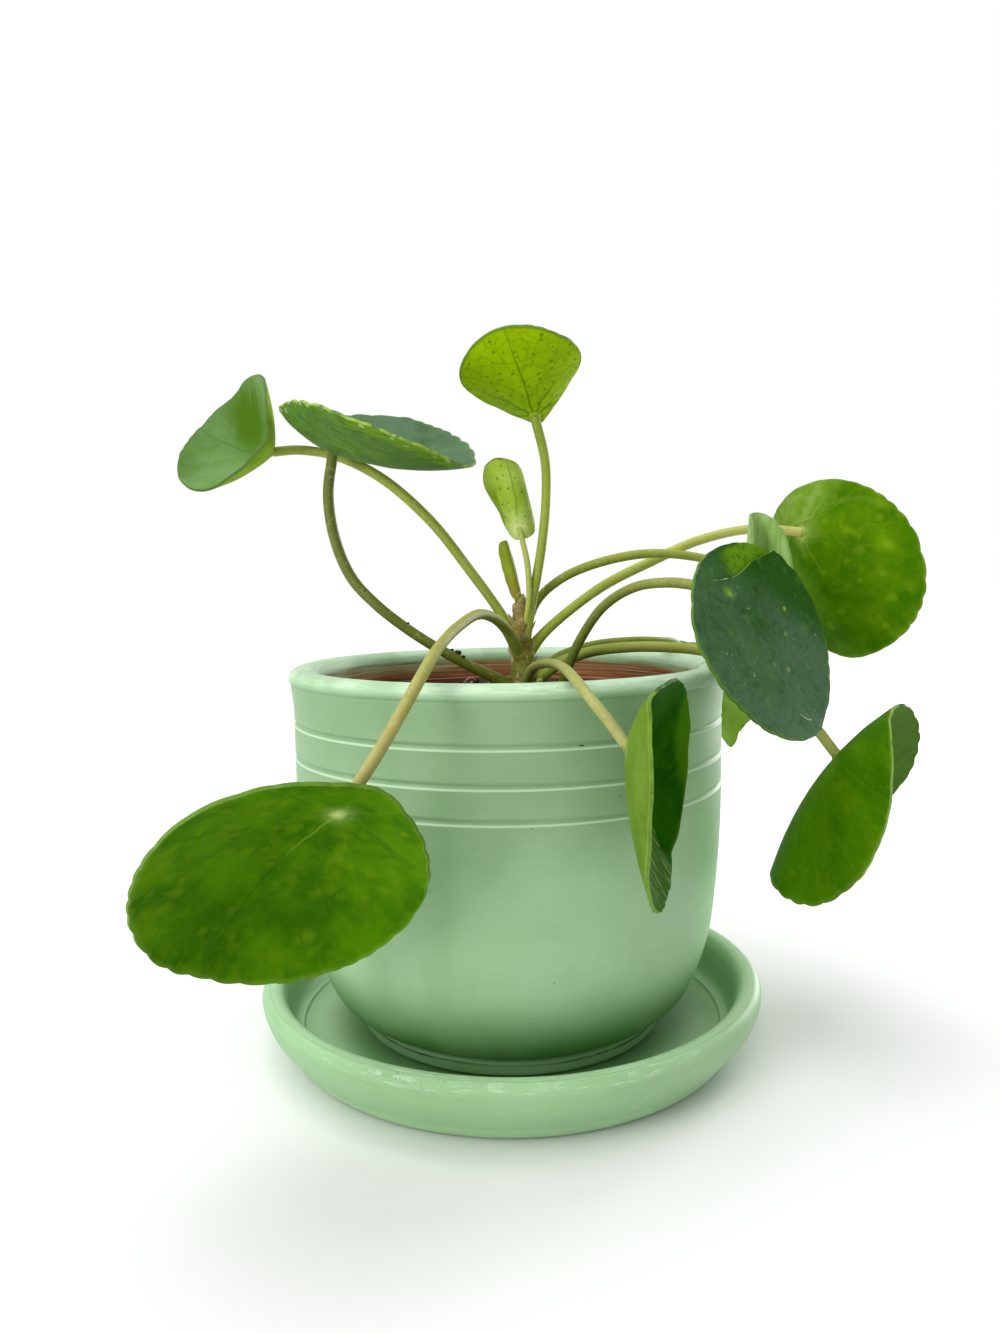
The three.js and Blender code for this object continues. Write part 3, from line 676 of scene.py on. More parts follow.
def new_group(name, inputs, outputs):
    """Node group with named sockets, where None is a vector: its wiring, what comes in, and the
    sockets that it feeds."""
    tree = bpy.data.node_groups.new(name, "ShaderNodeTree")
    for way, sockets in (("INPUT", inputs), ("OUTPUT", outputs)):
        for label, value in sockets.items():
            kind = "NodeSocketVector" if value is None else "NodeSocketFloat"
            socket = tree.interface.new_socket(name=label, in_out=way, socket_type=kind)
            if value is not None:
                socket.default_value = value
    wire = Wiring(tree)
    return wire, wire.node("NodeGroupInput"), wire.make("NodeGroupOutput").inputs


def new_material(name):
    """Wiring of a new material with a Principled shader."""
    material = bpy.data.materials.new(name)
    material.use_nodes = True
    material.node_tree.nodes.clear()
    wire = Wiring(material.node_tree)
    wire.material = material
    wire.shader = wire.make("ShaderNodeBsdfPrincipled")
    wire.make("ShaderNodeOutputMaterial", {"Surface": Value(wire.shader.outputs[0])})
    return wire


def build_pits():
    """Sparse small pits: a mask that is 1 inside a pit."""
    wire, inside, out = new_group("pits", dict(Vector=None, Spacing=8.0, Radius=0.3, Share=0.3),
                                  dict(Mask=0.0))
    scaled = inside["Vector"] * (1.0 / inside["Spacing"])
    voronoi = wire.node("ShaderNodeTexVoronoi", {"Vector": scaled, "Scale": 1.0})
    distance = voronoi["Distance"] * inside["Spacing"]
    pick = wire.split(voronoi["Color"])[0]
    wobble = wire.noise(inside["Vector"], 2.0, 2.0)
    size = inside["Radius"] * (0.4 + wobble)
    core = wire.step(distance, size * 1.25, size * 0.7)
    chosen = pick < inside["Share"]
    wire.feed(out["Mask"], core * chosen)


def build_dots():
    """Small round dots on a flat map, one to a cell: a mask that is 1 inside a dot."""
    wire, inside, out = new_group("dots", dict(Vector=None, Spacing=4.0, Radius=0.4, Share=0.7,
                                               Seed=0.0), dict(Mask=0.0))
    shift = wire.join(inside["Seed"] * 7.3, inside["Seed"] * 3.1)
    moved = inside["Vector"] + shift
    scaled = moved * (1.0 / inside["Spacing"])
    voronoi = wire.node("ShaderNodeTexVoronoi", {"Vector": scaled, "Scale": 1.0,
                                                 "Randomness": 0.8}, voronoi_dimensions="2D")
    distance = voronoi["Distance"] * inside["Spacing"]
    pick, other, _ = wire.split(voronoi["Color"])
    size = inside["Radius"] * (0.55 + other)
    size *= 0.6 + wire.noise(moved, 1.5, 2.0)
    core = wire.step(distance, size * 1.35, size * 0.4)
    chosen = pick < inside["Share"]
    wire.feed(out["Mask"], core * chosen)


def build_brushwork():
    """Paint laid on round a turned piece: streaks that run round it, and fine grain."""
    wire, inside, out = new_group("brushwork", dict(Vector=None, Streak=1.0),
                                  dict(Streaks=0.0, Grain=0.0, Clouds=0.0, Round=None))
    x, y, z = wire.split(inside["Vector"])
    angle = wire.sum("ARCTAN2", y, x)
    radius = wire.reach(x, y)
    # A ring of the cylinder unrolled without a seam: cosine and sine carry the angle
    around = wire.join(wire.sum("COSINE", angle) * 5.0, wire.sum("SINE", angle) * 5.0,
                       z + radius * 0.8)
    wire.feed(out["Round"], around)
    wire.feed(out["Streaks"], wire.noise(around * (1.0, 1.0, 1.6), inside["Streak"] * 0.6, 5.0,
                                         0.6, 0.3))
    wire.feed(out["Grain"], wire.noise(inside["Vector"], 2.6, 4.0, 0.7))
    wire.feed(out["Clouds"], wire.noise(inside["Vector"], 0.045, 3.0, 0.55))


def build_veins():
    """Veins of a round leaf with its joint at the origin and its tip along +X, in millimetres."""
    wire, inside, out = new_group("leaf_veins", dict(Vector=None, Half=30.0, Seed=0.0),
                                  dict(Ribs=0.0, Middle=0.0, Net=0.0, Quilt=0.0, Reach=0.0))
    seeded = inside["Vector"] + wire.join(0.0, 0.0, inside["Seed"])
    push = wire.noise(seeded, 0.11, 2.0, out="Color") - (0.5, 0.5, 0.5)
    warped = inside["Vector"] + push * 5.0
    straight = inside["Vector"] + push * 1.6
    off_middle = abs(wire.split(straight)[1])
    x, y, _ = wire.split(warped)
    reach = wire.reach(x, y)
    wire.feed(out["Reach"], reach)
    angle = wire.sum("ARCTAN2", y, x)
    share = reach / inside["Half"]
    # Seven ribs from the joint, thinner as they run out
    spokes = abs(wire.sum("SINE", angle * 3.5))
    off = spokes * reach * 0.29
    width = wire.step(share, 0.0, 1.5, 0.62, 0.16)
    rib = wire.step(off, width, width * 0.25) * wire.step(share, 1.6, 0.5)
    # Midrib, straight to the tip
    middle = wire.step(off_middle, wire.step(share, 0.0, 1.7, 0.62, 0.22), 0.05)
    middle *= x > -0.5
    wire.feed(out["Middle"], middle)
    # Side ribs that leave the midrib at a slant
    slant = x - abs(y) * 0.85
    lane = wire.sum("PINGPONG", slant + 2.0, 4.5)
    side = wire.step(lane, 0.34, 0.06) * wire.step(slant, 1.0, 6.0) * 0.55
    wire.feed(out["Ribs"], wire.sum("MAXIMUM", rib, side) * wire.step(off_middle, 0.4, 1.2))
    # Small veins between them, and the leaf raised between those
    for label, scale, low, high in (("Net", 0.24, 0.075, 0.01), ("Quilt", 0.27, 0.0, 0.45)):
        cells = wire.node("ShaderNodeTexVoronoi", {"Vector": warped, "Scale": scale},
                          feature="DISTANCE_TO_EDGE")
        wire.feed(out[label], wire.step(cells["Distance"], low, high))


def build_blotches():
    """Soft blotches that touch and fade, as where a leaf lets more light through."""
    wire, inside, out = new_group("blotches", dict(Vector=None, Spacing=4.0, Amount=0.5),
                                  dict(Mask=0.0))
    scaled = inside["Vector"] * (1.0 / inside["Spacing"])
    patch = wire.step(wire.noise(scaled, 0.9, 2.0, 0.5, 0.6), 0.50, 0.72)
    small = wire.step(wire.noise(scaled, 2.1, 2.0, 0.5, 0.4), 0.52, 0.70)
    where = wire.step(wire.noise(scaled, 0.28, 2.0), 0.38, 0.58)
    mask = wire.sum("MAXIMUM", patch, small * 0.35) * where
    wire.feed(out["Mask"], wire.sum("MULTIPLY", mask, inside["Amount"], clamp=True))


# ---------------------------------------------------------------- painted clay

def paint_look(name, settings, lit_top, details):
    """Satin sage paint with brush streaks, pits and a lighter upper edge, rubbed pale and with
    painted light on it, whose height in millimetres is lit_top. `details` adds what only one of
    the two pieces has."""
    wire = new_material(name)
    place = wire.place()
    brush = wire.group("brushwork", Vector=place, Streak=1.0)
    fine = wire.group("brushwork", Vector=place, Streak=3.2)
    pits = wire.group("pits", Vector=place, Spacing=5.0, Radius=0.26, Share=0.3)
    paint = settings.paint[:]

    def tone(*shares):
        return wire.mix(1.0, paint, (*shares, 1.0), "MULTIPLY")

    colour = wire.mix(wire.step(brush["Clouds"], 0.25, 0.75), tone(0.92, 0.94, 0.92),
                      tone(1.08, 1.05, 1.08))
    for value, low, high, share, shares in (
            (brush["Streaks"], 0.45, 0.75, 0.16, (1.32, 1.22, 1.34)),
            (fine["Streaks"], 0.5, 0.3, 0.16, (0.7, 0.8, 0.68)),
            (brush["Grain"], 0.52, 0.72, 0.3, (1.3, 1.2, 1.32)),
            (brush["Grain"], 0.46, 0.28, 0.3, (0.72, 0.8, 0.7))):
        colour = wire.mix(wire.step(value, low, high) * share, colour, tone(*shares))
    z = wire.split(place)[2]
    # Upper edge: rubbed pale, and painted light where it faces up
    rub_and_light = (wire.step(z, lit_top - 3.8, lit_top - 1.6)
           * wire.step(fine["Streaks"], 0.3, 0.72, 0.4))
    colour = wire.tint(colour, rub_and_light * settings.wear_and_light, (212, 240, 204))
    colour = wire.tint(colour, pits["Mask"] * 0.6, (70, 92, 58))
    height = fine["Streaks"] * 0.5 + brush["Grain"] * 0.4 - pits["Mask"] * 0.8
    rough = wire.step(brush["Streaks"], 0.3, 0.75, 0.40, 0.52)
    colour, height, rough = details(wire, place, fine, colour, height, rough)
    return wire.finish(colour, rough, (height, 0.28, 0.0003), 0.3)


def saucer_look(settings):
    """Paint of the saucer, pitted along the front of its lip, and pale there with scuffs and
    painted highlights.
    """
    def scuffs_and_highlights(wire, place, brush, colour, height, rough):
        x, y, z = wire.split(place)
        radius = wire.reach(x, y)
        top = wire.step(z, 15.2, 17.0) * wire.step(radius, 64.5, 66.0)
        front = wire.step(y, -48.0, -63.0)
        tatter = wire.noise(brush["Round"] * (1.6, 1.6, 3.0), 1.0, 6.0, 0.75)
        patch = wire.step(wire.noise(place, 0.11), 0.34, 0.50)
        mask = top * front * (wire.step(tatter, 0.51, 0.62) * patch)
        # Front of the lip: pale scuffs, partly painted highlight
        colour = wire.tint(colour, mask * 0.6, (206, 230, 200))
        # Painted light on the right of the outer wall
        right = wire.step(x, 18.0, 52.0) * wire.step(z, 9.0, 14.0)
        colour = wire.tint(colour, right * 0.12, (190, 222, 182))
        # Cluster of brown pits left of the middle of the front
        near = wire.step((place - (-22.0, -66.5, 17.0)).length, 12.0, 5.0)
        holes = wire.step(wire.noise(place, 1.5, 3.0, 0.7), 0.60, 0.66)
        colour = wire.tint(colour, holes * near * top * 0.8, (84, 84, 56))
        # Turned lines on the lip and the floor, and brush strokes up the wall
        lip_line = wire.line(radius, 69.6, 0.35) * wire.step(z, 17.6, 18.1)
        colour = wire.tint(colour, lip_line * 0.3, (112, 146, 104))
        floor_line = wire.line(radius, 60.9, 0.3) * wire.step(z, 7.0, 6.6)
        colour = wire.tint(colour, floor_line * 0.55, (190, 216, 186))
        strokes = wire.noise(brush["Round"] * (5.0, 5.0, 0.2), 0.6, 4.0, 0.65)
        wall = wire.step(z, 16.0, 13.0)
        colour = wire.tint(colour, wire.step(strokes, 0.58, 0.7) * wall * 0.18, (196, 222, 188))
        shade = wire.step(radius, 57.0, 45.0) * wire.step(z, 9.0, 7.5)
        colour = wire.tint(colour, shade * 0.75, (70, 120, 56))
        lighter = colour * (1.22, 1.18, 1.24)
        colour = wire.mix(wire.step(radius, 66.4, 64.6), colour, lighter)
        return colour, height, rough

    return paint_look("painted_saucer", settings, 21.3, scuffs_and_highlights)


def pot_look(settings):
    """Paint of the pot, chipped on the first groove, with bare clay inside below the rim."""
    def inside(wire, place, brush, colour, height, rough):
        x, y, z = wire.split(place)
        radius = wire.reach(x, y)
        # Painted shade: darker at the top and toward the foot. Painted reflections: lighter down
        # the right side, and darker in broad bands
        high = colour * (0.84, 0.81, 0.84)
        low = colour * (1.0, 0.97, 1.04)
        shade_toward_top = wire.step(z, 36.0, 92.0) * wire.step(z, 104.9, 104.0)
        colour = wire.mix(shade_toward_top, low, high)
        foot = wire.step(z, 34.0, 12.0) * wire.step(z, 9.6, 10.4, 0.35)
        colour = wire.tint(colour, foot * 0.92, (54, 108, 24))
        # Painted reflection down the right side, lighter and greener
        side = colour * (1.06, 1.26, 1.02)
        colour = wire.mix(wire.step(x, 42.0, 58.0) * wire.step(z, 104.9, 104.0), colour, side)
        # Painted reflections in broad bands, darker
        reflection_bands = wire.noise(place * (1.0, 1.0, 0.12), 0.05, 2.0, 0.4)
        colour = wire.tint(colour, wire.step(reflection_bands, 0.5, 0.36) * 0.35, (120, 160, 108))
        # Dark chip and specks on the uppermost groove
        for spot, size, amount in CHIPS:
            offset = (place - spot) * (0.55, 1.0, 2.6)
            ragged = offset.length + wire.noise(place, 1.6, 3.0, 0.7)
            chip = wire.step(ragged, size + 0.62, size + 0.35)
            colour = wire.tint(colour, chip * amount, (40, 40, 32))
        # Lower edge of each groove, which faces up: a painted highlight; and painted shade along
        # the top inside each groove
        wall = wire.step(radius, 58.0, 59.0)
        for bottom in GROOVE_BOTTOMS:
            edge = wire.line(z, bottom, 0.38, 0.12) * wall
            colour = wire.tint(colour, edge * 0.6, (202, 230, 196))
            edge = wire.line(z, bottom + 1.12, 0.3) * wall
            edge *= wire.step(brush["Streaks"], 0.35, 0.6, 0.3)
            colour = wire.tint(colour, edge * 0.2, (96, 130, 84))
        # Scored line round the foot ring, with a pale edge above it and chips along it
        ring = wire.step(radius, 42.2, 42.9)
        sway = z + wire.noise(place, 0.05, 2.0) * 0.8
        flaw = wire.step(wire.noise(brush["Round"], 1.6, 5.0, 0.7), 0.40, 0.58, 0.3)
        seam = wire.line(sway, 9.0, 0.34, 0.12) * ring * flaw
        seam *= wire.step(abs(x), 6.0, 22.0, 0.3)
        colour = wire.tint(colour, seam * 0.9, (24, 46, 18))
        above = wire.step(sway, 9.2, 9.4) * wire.step(sway, 9.9, 9.6) * ring
        colour = wire.tint(colour, above * 0.3, (168, 204, 152))
        spall = wire.step(z, 10.1, 9.6) * wire.step(z, 7.8, 8.3) * ring
        chips = wire.step(wire.noise(place, 0.8, 4.0, 0.75), 0.64, 0.68)
        colour = wire.tint(colour, spall * chips * 0.8, (44, 50, 34))
        # Bare clay inside, with the edge of the paint brushed out over it
        dry = wire.noise(brush["Round"] * (0.6, 0.6, 1.4), 0.9, 5.0, 0.7)
        ragged = z + (dry - 0.5) * 5.0
        bare = wire.step(radius, 54.1, 53.7) * wire.step(ragged, 105.2, 103.2)
        bare *= wire.step(z, 26.0, 30.0)
        under = wire.step(radius, 37.6, 37.2) * wire.step(z, 16.0, 15.0)
        bare = wire.sum("MAXIMUM", bare, under)
        lines = wire.noise(brush["Round"] * (0.25, 0.25, 2.2), 0.9, 5.0, 0.65)
        clay = wire.tint((100, 50, 20), wire.step(lines, 0.36, 0.6), (170, 104, 58))
        clay = wire.tint(clay, wire.step(lines, 0.57, 0.66) * 0.75, (226, 182, 144))
        clay = wire.tint(clay, wire.step(wire.noise(place, 1.3, 4.0, 0.7), 0.5, 0.3) * 0.35,
                         (84, 40, 22))
        clay = wire.tint(clay, wire.step(z, 98.6, 97.0) * 0.5, (66, 30, 20))
        water = wire.line(z + wire.noise(place, 0.12, 2.0) * 0.8, 98.9, 0.28, 0.08)
        clay = wire.tint(clay, water * 0.6, (214, 178, 160))
        # Dusty film of paint just below the painted edge
        film = wire.step(z, 99.0, 103.0) * wire.step(dry, 0.36, 0.6)
        film *= wire.step(x, 12.0, -24.0, 0.4, 0.95)
        clay = wire.tint(clay, film, (164, 166, 122))
        colour = wire.mix(bare, colour, clay)
        height += lines * bare * 1.4
        rough = wire.sum("ADD", rough, bare * 0.4, clamp=True)
        return colour, height, rough

    return paint_look("painted_pot", settings, 108.2, inside)


# Chips in the paint: place on the pot, size and strength
CHIPS = [((17.3, -58.1, 93.3), 0.66, 0.95), ((-35.5, -49.0, 93.9), 0.28, 0.7),
         ((-38.0, -47.0, 93.6), 0.22, 0.6), ((-4.0, -60.5, 93.0), 0.16, 0.5)]


# ---------------------------------------------------------------- soil, stem

def soil_look():
    wire = new_material("potting_soil")
    place = wire.place()
    grain = wire.noise(place, 0.9, 6.0, 0.7)
    colour = wire.tint((10, 6, 4), wire.step(grain, 0.32, 0.7), (44, 28, 20))
    bits = wire.group("pits", Vector=place, Spacing=2.6, Radius=0.5, Share=0.16)
    colour = wire.tint(colour, bits["Mask"] * 0.6, (104, 78, 56))
    fibres = wire.noise(place * (0.5, 2.4, 1.0), 0.9, 3.0, 0.6, 1.2)
    colour = wire.tint(colour, wire.step(fibres, 0.66, 0.72) * 0.6, (96, 66, 46))
    return wire.finish(colour, wire.step(grain, 0.3, 0.7, 0.7, 0.95), (grain, 0.8, 0.0008))


# Plain grainy finishes: stretch, scale and detail of the grain, its two colours, the least and
# the most roughness, and how strong and how deep the relief is
GRAINY = {
    "pale_grit": ((1, 1, 1), 2.2, 4.0, (120, 96, 72), (206, 194, 176), (0.7, 0.9), (0.5, 0.0003)),
    "pale_root": ((1, 1, 1), 1.4, 4.0, (150, 130, 92), (224, 216, 190), (0.5, 0.7), (0.4, 0.0002)),
    "papery_scale": ((2.0, 2.0, 0.35), 1.1, 3.0, (126, 112, 56), (198, 188, 136), (0.45, 0.7),
                     (0.5, 0.0003)),
}


def grainy_look(name):
    stretch, scale, detail, dark, pale, rough, relief = GRAINY[name]
    wire = new_material(name)
    grain = wire.noise(wire.place() * stretch, scale, detail, 0.6)
    return wire.finish(wire.tint(dark, wire.step(grain, 0.35, 0.65), pale),
                       wire.step(grain, 0.3, 0.7, *rough), (grain, *relief))


def stalk_look():
    """Skin of the stalks: its own colour attribute, clouded, ridged lengthwise and speckled."""
    wire = new_material("stalk_skin")
    place = wire.place()
    tint = wire.node("ShaderNodeAttribute", attribute_name="skin")["Color"]
    cloud = wire.noise(place, 0.16, 4.0, 0.6)
    colour = wire.mix(1.0, tint, wire.mix(cloud, (0.72, 0.78, 0.62, 1.0),
                                          (1.24, 1.18, 1.30, 1.0)), "MULTIPLY")
    streaks = wire.noise(place, 0.9, 4.0, 0.6)
    colour = wire.tint(colour, wire.step(streaks, 0.55, 0.72) * 0.3, (206, 206, 150))
    colour = wire.mix(wire.step(streaks, 0.42, 0.3) * 0.3, colour, tint * (0.6, 0.62, 0.45))
    grain = wire.noise(place, 2.4, 4.0, 0.6)
    return wire.finish(colour, wire.step(grain, 0.3, 0.7, 0.36, 0.52), (grain, 0.25, 0.0003), 0.2)


def trunk_look():
    """Corky olive trunk with faint leaf scars and pale flakes."""
    wire = new_material("trunk_bark")
    place = wire.place()
    rings = wire.noise(place * (0.3, 0.3, 1.0), 0.7, 4.0, 0.6)
    patches = wire.noise(place, 0.30, 5.0, 0.65)
    colour = wire.tint((96, 96, 20), wire.step(rings, 0.35, 0.65), (134, 132, 54))
    colour = wire.tint(colour, wire.step(patches, 0.5, 0.64) * 0.7, (112, 128, 44))
    colour = wire.tint(colour, wire.step(patches, 0.42, 0.3) * 0.45, (104, 76, 32))
    z = wire.split(place)[2]
    colour = wire.tint(colour, wire.step(z + patches * 8.0, 112.0, 124.0, 0.0, 0.6),
                       (156, 130, 74))
    flakes = wire.noise(place * (1.0, 1.0, 0.4), 1.1, 4.0, 0.7)
    flaked = wire.step(flakes, wire.step(z, 104.0, 122.0, 0.62, 0.56),
                       wire.step(z, 104.0, 122.0, 0.70, 0.66))
    colour = wire.tint(colour, flaked * 0.8, (220, 208, 164))
    height = rings * 0.6 + patches * 0.8
    return wire.finish(colour, wire.step(patches, 0.3, 0.7, 0.5, 0.75), (height, 0.6, 0.0006), 0.2)


# ---------------------------------------------------------------- leaf looks

def leaf_look(name, look, half, seed, marks):
    """One face of a blade, drawn on its flat map: x runs from the joint to the tip."""
    wire = new_material(name)
    level = wire.flat_map()
    ring, slit, _ = wire.split(wire.node("ShaderNodeUVMap", uv_map="ring")["UV"])
    flat = level + (0.0, 0.0, seed)
    veins = wire.group("leaf_veins", Vector=level, Half=half, Seed=seed)
    spots = wire.group("blotches", Vector=flat, Spacing=4.6, Amount=look["spots"] * 1.4)
    cloud = wire.noise(flat, 0.085, 4.0, 0.55)
    fine = wire.noise(flat, 0.9, 4.0, 0.6)
    rib = look["rib"]
    colour = wire.tint(look["deep"], wire.step(cloud, 0.32, 0.68), look["fresh"])
    # Painted reflection of the bright sky, in clouds over the face
    if look["sky_sheens"]:
        cover = wire.step(wire.noise(flat, 0.06, 4.0, 0.6, 0.4), 0.32, 0.60)
        colour = wire.tint(colour, cover * look["sky_sheens"], look["sky_sheen"])
    colour = wire.tint(colour, spots["Mask"], look["spot"])
    darker = colour * (0.74, 0.8, 0.74)
    colour = wire.mix(wire.step(fine, 0.5, 0.3, 0.0, 0.3), colour, darker)
    # Painted shade in the low lines between the raised parts of the leaf
    colour = wire.mix((1.0 - veins["Quilt"]) * (look["quilt"] * 0.7), colour, darker)
    colour = wire.tint(colour, veins["Net"] * look["net"], rib)
    fade = wire.step(veins["Reach"], half * 1.5, half * 0.3, 0.2)
    colour = wire.tint(colour, veins["Ribs"] * fade * look["ribs"], rib)
    # Midrib: light out to spine_at, and a dark line from there
    length = look["spine_at"] * half
    light = wire.step(veins["Reach"], length * 1.3, length * 0.6, 0.0, look["middle"])
    colour = wire.tint(colour, veins["Middle"] * light, rib)
    dark = wire.step(veins["Reach"], length * 0.8, length * 1.4, 0.0, look["spine"])
    colour = wire.mix(veins["Middle"] * dark, colour, colour * (0.5, 0.6, 0.5))
    if look["ridges"]:
        lines = wire.noise(flat * (0.18, 1.5, 1.0), 0.42, 3.0, 0.55)
        colour = wire.mix(wire.step(lines, 0.52, 0.4, 0.0, look["ridges"]), colour,
                          colour * (0.62, 0.7, 0.55))
    if look["dots"]:
        dots = wire.dots(level, 3.3, 0.36, 0.85, seed)
        colour = wire.tint(colour, dots * (look["dots"] * 0.75), look["dot"])
    edge = ring + cloud * 0.04
    colour = wire.tint(colour, wire.step(edge, 0.99, 1.016) * look["rims"], look["rim"])
    size = look["hub_size"]
    near = veins["Reach"] + (fine - 0.5) * size
    colour = wire.tint(colour, wire.step(near, size * 2.6, 0.0, 0.0, 0.28), look["hub"])
    colour = wire.tint(colour, wire.step(near, size * 1.25, 0.0, 0.0, 0.85), look["hub"])
    height = veins["Quilt"] * 0.6 - wire.sum("MAXIMUM", veins["Ribs"], veins["Middle"]) * 0.5
    height += fine * 0.2
    rough = wire.step(fine, 0.3, 0.7, look["rough"] - 0.06, look["rough"] + 0.08)
    if marks:
        colour = marks(wire, level, flat, slit, colour)
    return wire.finish(colour, rough, (height, look["quilt"] * 0.5, 0.0004), look["shine"])


def rim_look(name, look):
    """Cut edge of a blade, with another colour on the near side as far as near_edge_to: where
    that is paler, painted light along the near edge.
    """
    wire = new_material(name)
    place = wire.place()
    speck = wire.noise(place, 0.7, 4.0, 0.6)
    level = wire.flat_map()
    x, y, _ = wire.split(level)
    limit = look["near_edge_to"]
    near = wire.step(y, 1.0, -1.0) * wire.step(x, limit, limit - 5.0)
    broken = wire.noise(level, 0.22, 3.0, 0.6)
    near *= wire.step(broken, 0.38, 0.56, 1.0 - look["gaps"])
    # Near side of the edge: where paler, painted light along it
    colour = wire.tint(look["edge"], near, look["near_edge"])
    darker = colour * (0.78, 0.82, 0.78)
    colour = wire.mix(wire.step(speck, 0.35, 0.65), darker, colour)
    return wire.finish(colour, wire.step(speck, 0.3, 0.7, 0.4, 0.55), (speck, 0.2, 0.0002), 0.08)


# ---------------------------------------------------------------- leaf form

def tooth(blade, angle):
    """Waved edge: round teeth with tighter notches between them, from -1 to 1."""
    swing = angle + 0.07 * math.sin(3 * angle + blade["length"]) + 0.05 * math.sin(
        5 * angle + blade["width"])
    teeth = round(blade["sectors"] * 0.86)
    uneven = blade.get("uneven", 0.4)
    depth = 1 - uneven + uneven * math.sin(2 * angle + blade["bow"] + blade["length"])
    return depth * (2 * abs(math.cos(teeth / 2 * swing)) ** 0.7 - 1.9)


def outline_point(blade, angle, teeth, dents):
    half = blade["length"] / 2
    wave = 1 + 0.24 * teeth / half * tooth(blade, angle)
    for middle, reach, depth in dents:
        away = math.remainder(angle - middle, 2 * math.pi) / reach
        wave += depth * math.exp(-away * away)
    return (half * blade["offset"] + half * wave * math.cos(angle),
            blade["width"] / 2 * wave * math.sin(angle))


def curl(blade, p, q, sunk=0.0):
    """Flat point raised into the folded, bent and cupped blade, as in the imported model."""
    half = blade["length"] / 2
    skew = radians(blade["skew"])
    along = math.cos(skew) * p + math.sin(skew) * q
    across = -math.sin(skew) * p + math.cos(skew) * q - blade["shift"]
    fold = radians(min(100, max(0, blade["fold"] * (1 + blade["grow"] * along / half))))
    twist = radians(blade["twist"]) * along / half
    bow = blade["bow"]
    reach = abs(across)
    turn = min(reach / bow, fold)
    rest = max(0, reach - bow * fold)
    out = math.copysign(bow * math.sin(turn) + rest * math.cos(fold), across)
    dish = blade["cup"] * (p * p + q * q) / half - sunk
    rise = bow * (1 - math.cos(turn)) + rest * math.sin(fold) + dish
    side = math.cos(twist) * out - math.sin(twist) * rise + blade["shift"]
    high = math.sin(twist) * out + math.cos(twist) * rise
    bend = (0.01 if abs(blade["bend"]) < 0.01 else blade["bend"]) / 1000
    x = (1 / bend - high) * math.sin(bend * along)
    z = 1 / bend - (1 / bend - high) * math.cos(bend * along)
    return Vector((math.cos(skew) * x - math.sin(skew) * side,
                   math.sin(skew) * x + math.cos(skew) * side, z))


def blade_basis(blade):
    up = Vector(blade["up"]).normalized()
    tip = Vector(blade["tip"])
    tip = (tip - up * tip.dot(up)).normalized()
    return tip, up.cross(tip), up


def cut_disc(columns, rings, open_edge):
    """Flat disc of radius 1: a circle drawn inward ring by ring, and merged in the middle."""
    piece = add_circle(columns, 1.0, fill="NOTHING")
    open_up(piece, "EDGE")
    if open_edge:
        pick("DESELECT")
        mesh = bmesh.from_edit_mesh(piece.data)
        cut = min(mesh.edges, key=lambda e: ((e.verts[0].co + e.verts[1].co) / 2
                                             - Vector((1, 0, 0))).length)
        cut.select_set(True)
        bpy.ops.mesh.delete(type="EDGE")
    pick()
    last = 1.0
    for ring in range(1, rings):
        share = 1 - ring / rings
        pull((0, 0, 0), share / last, edges=True)
        last = share
    close_middle()
    pick()
    bpy.ops.mesh.normals_make_consistent(inside=False)
    close_up()
    return piece


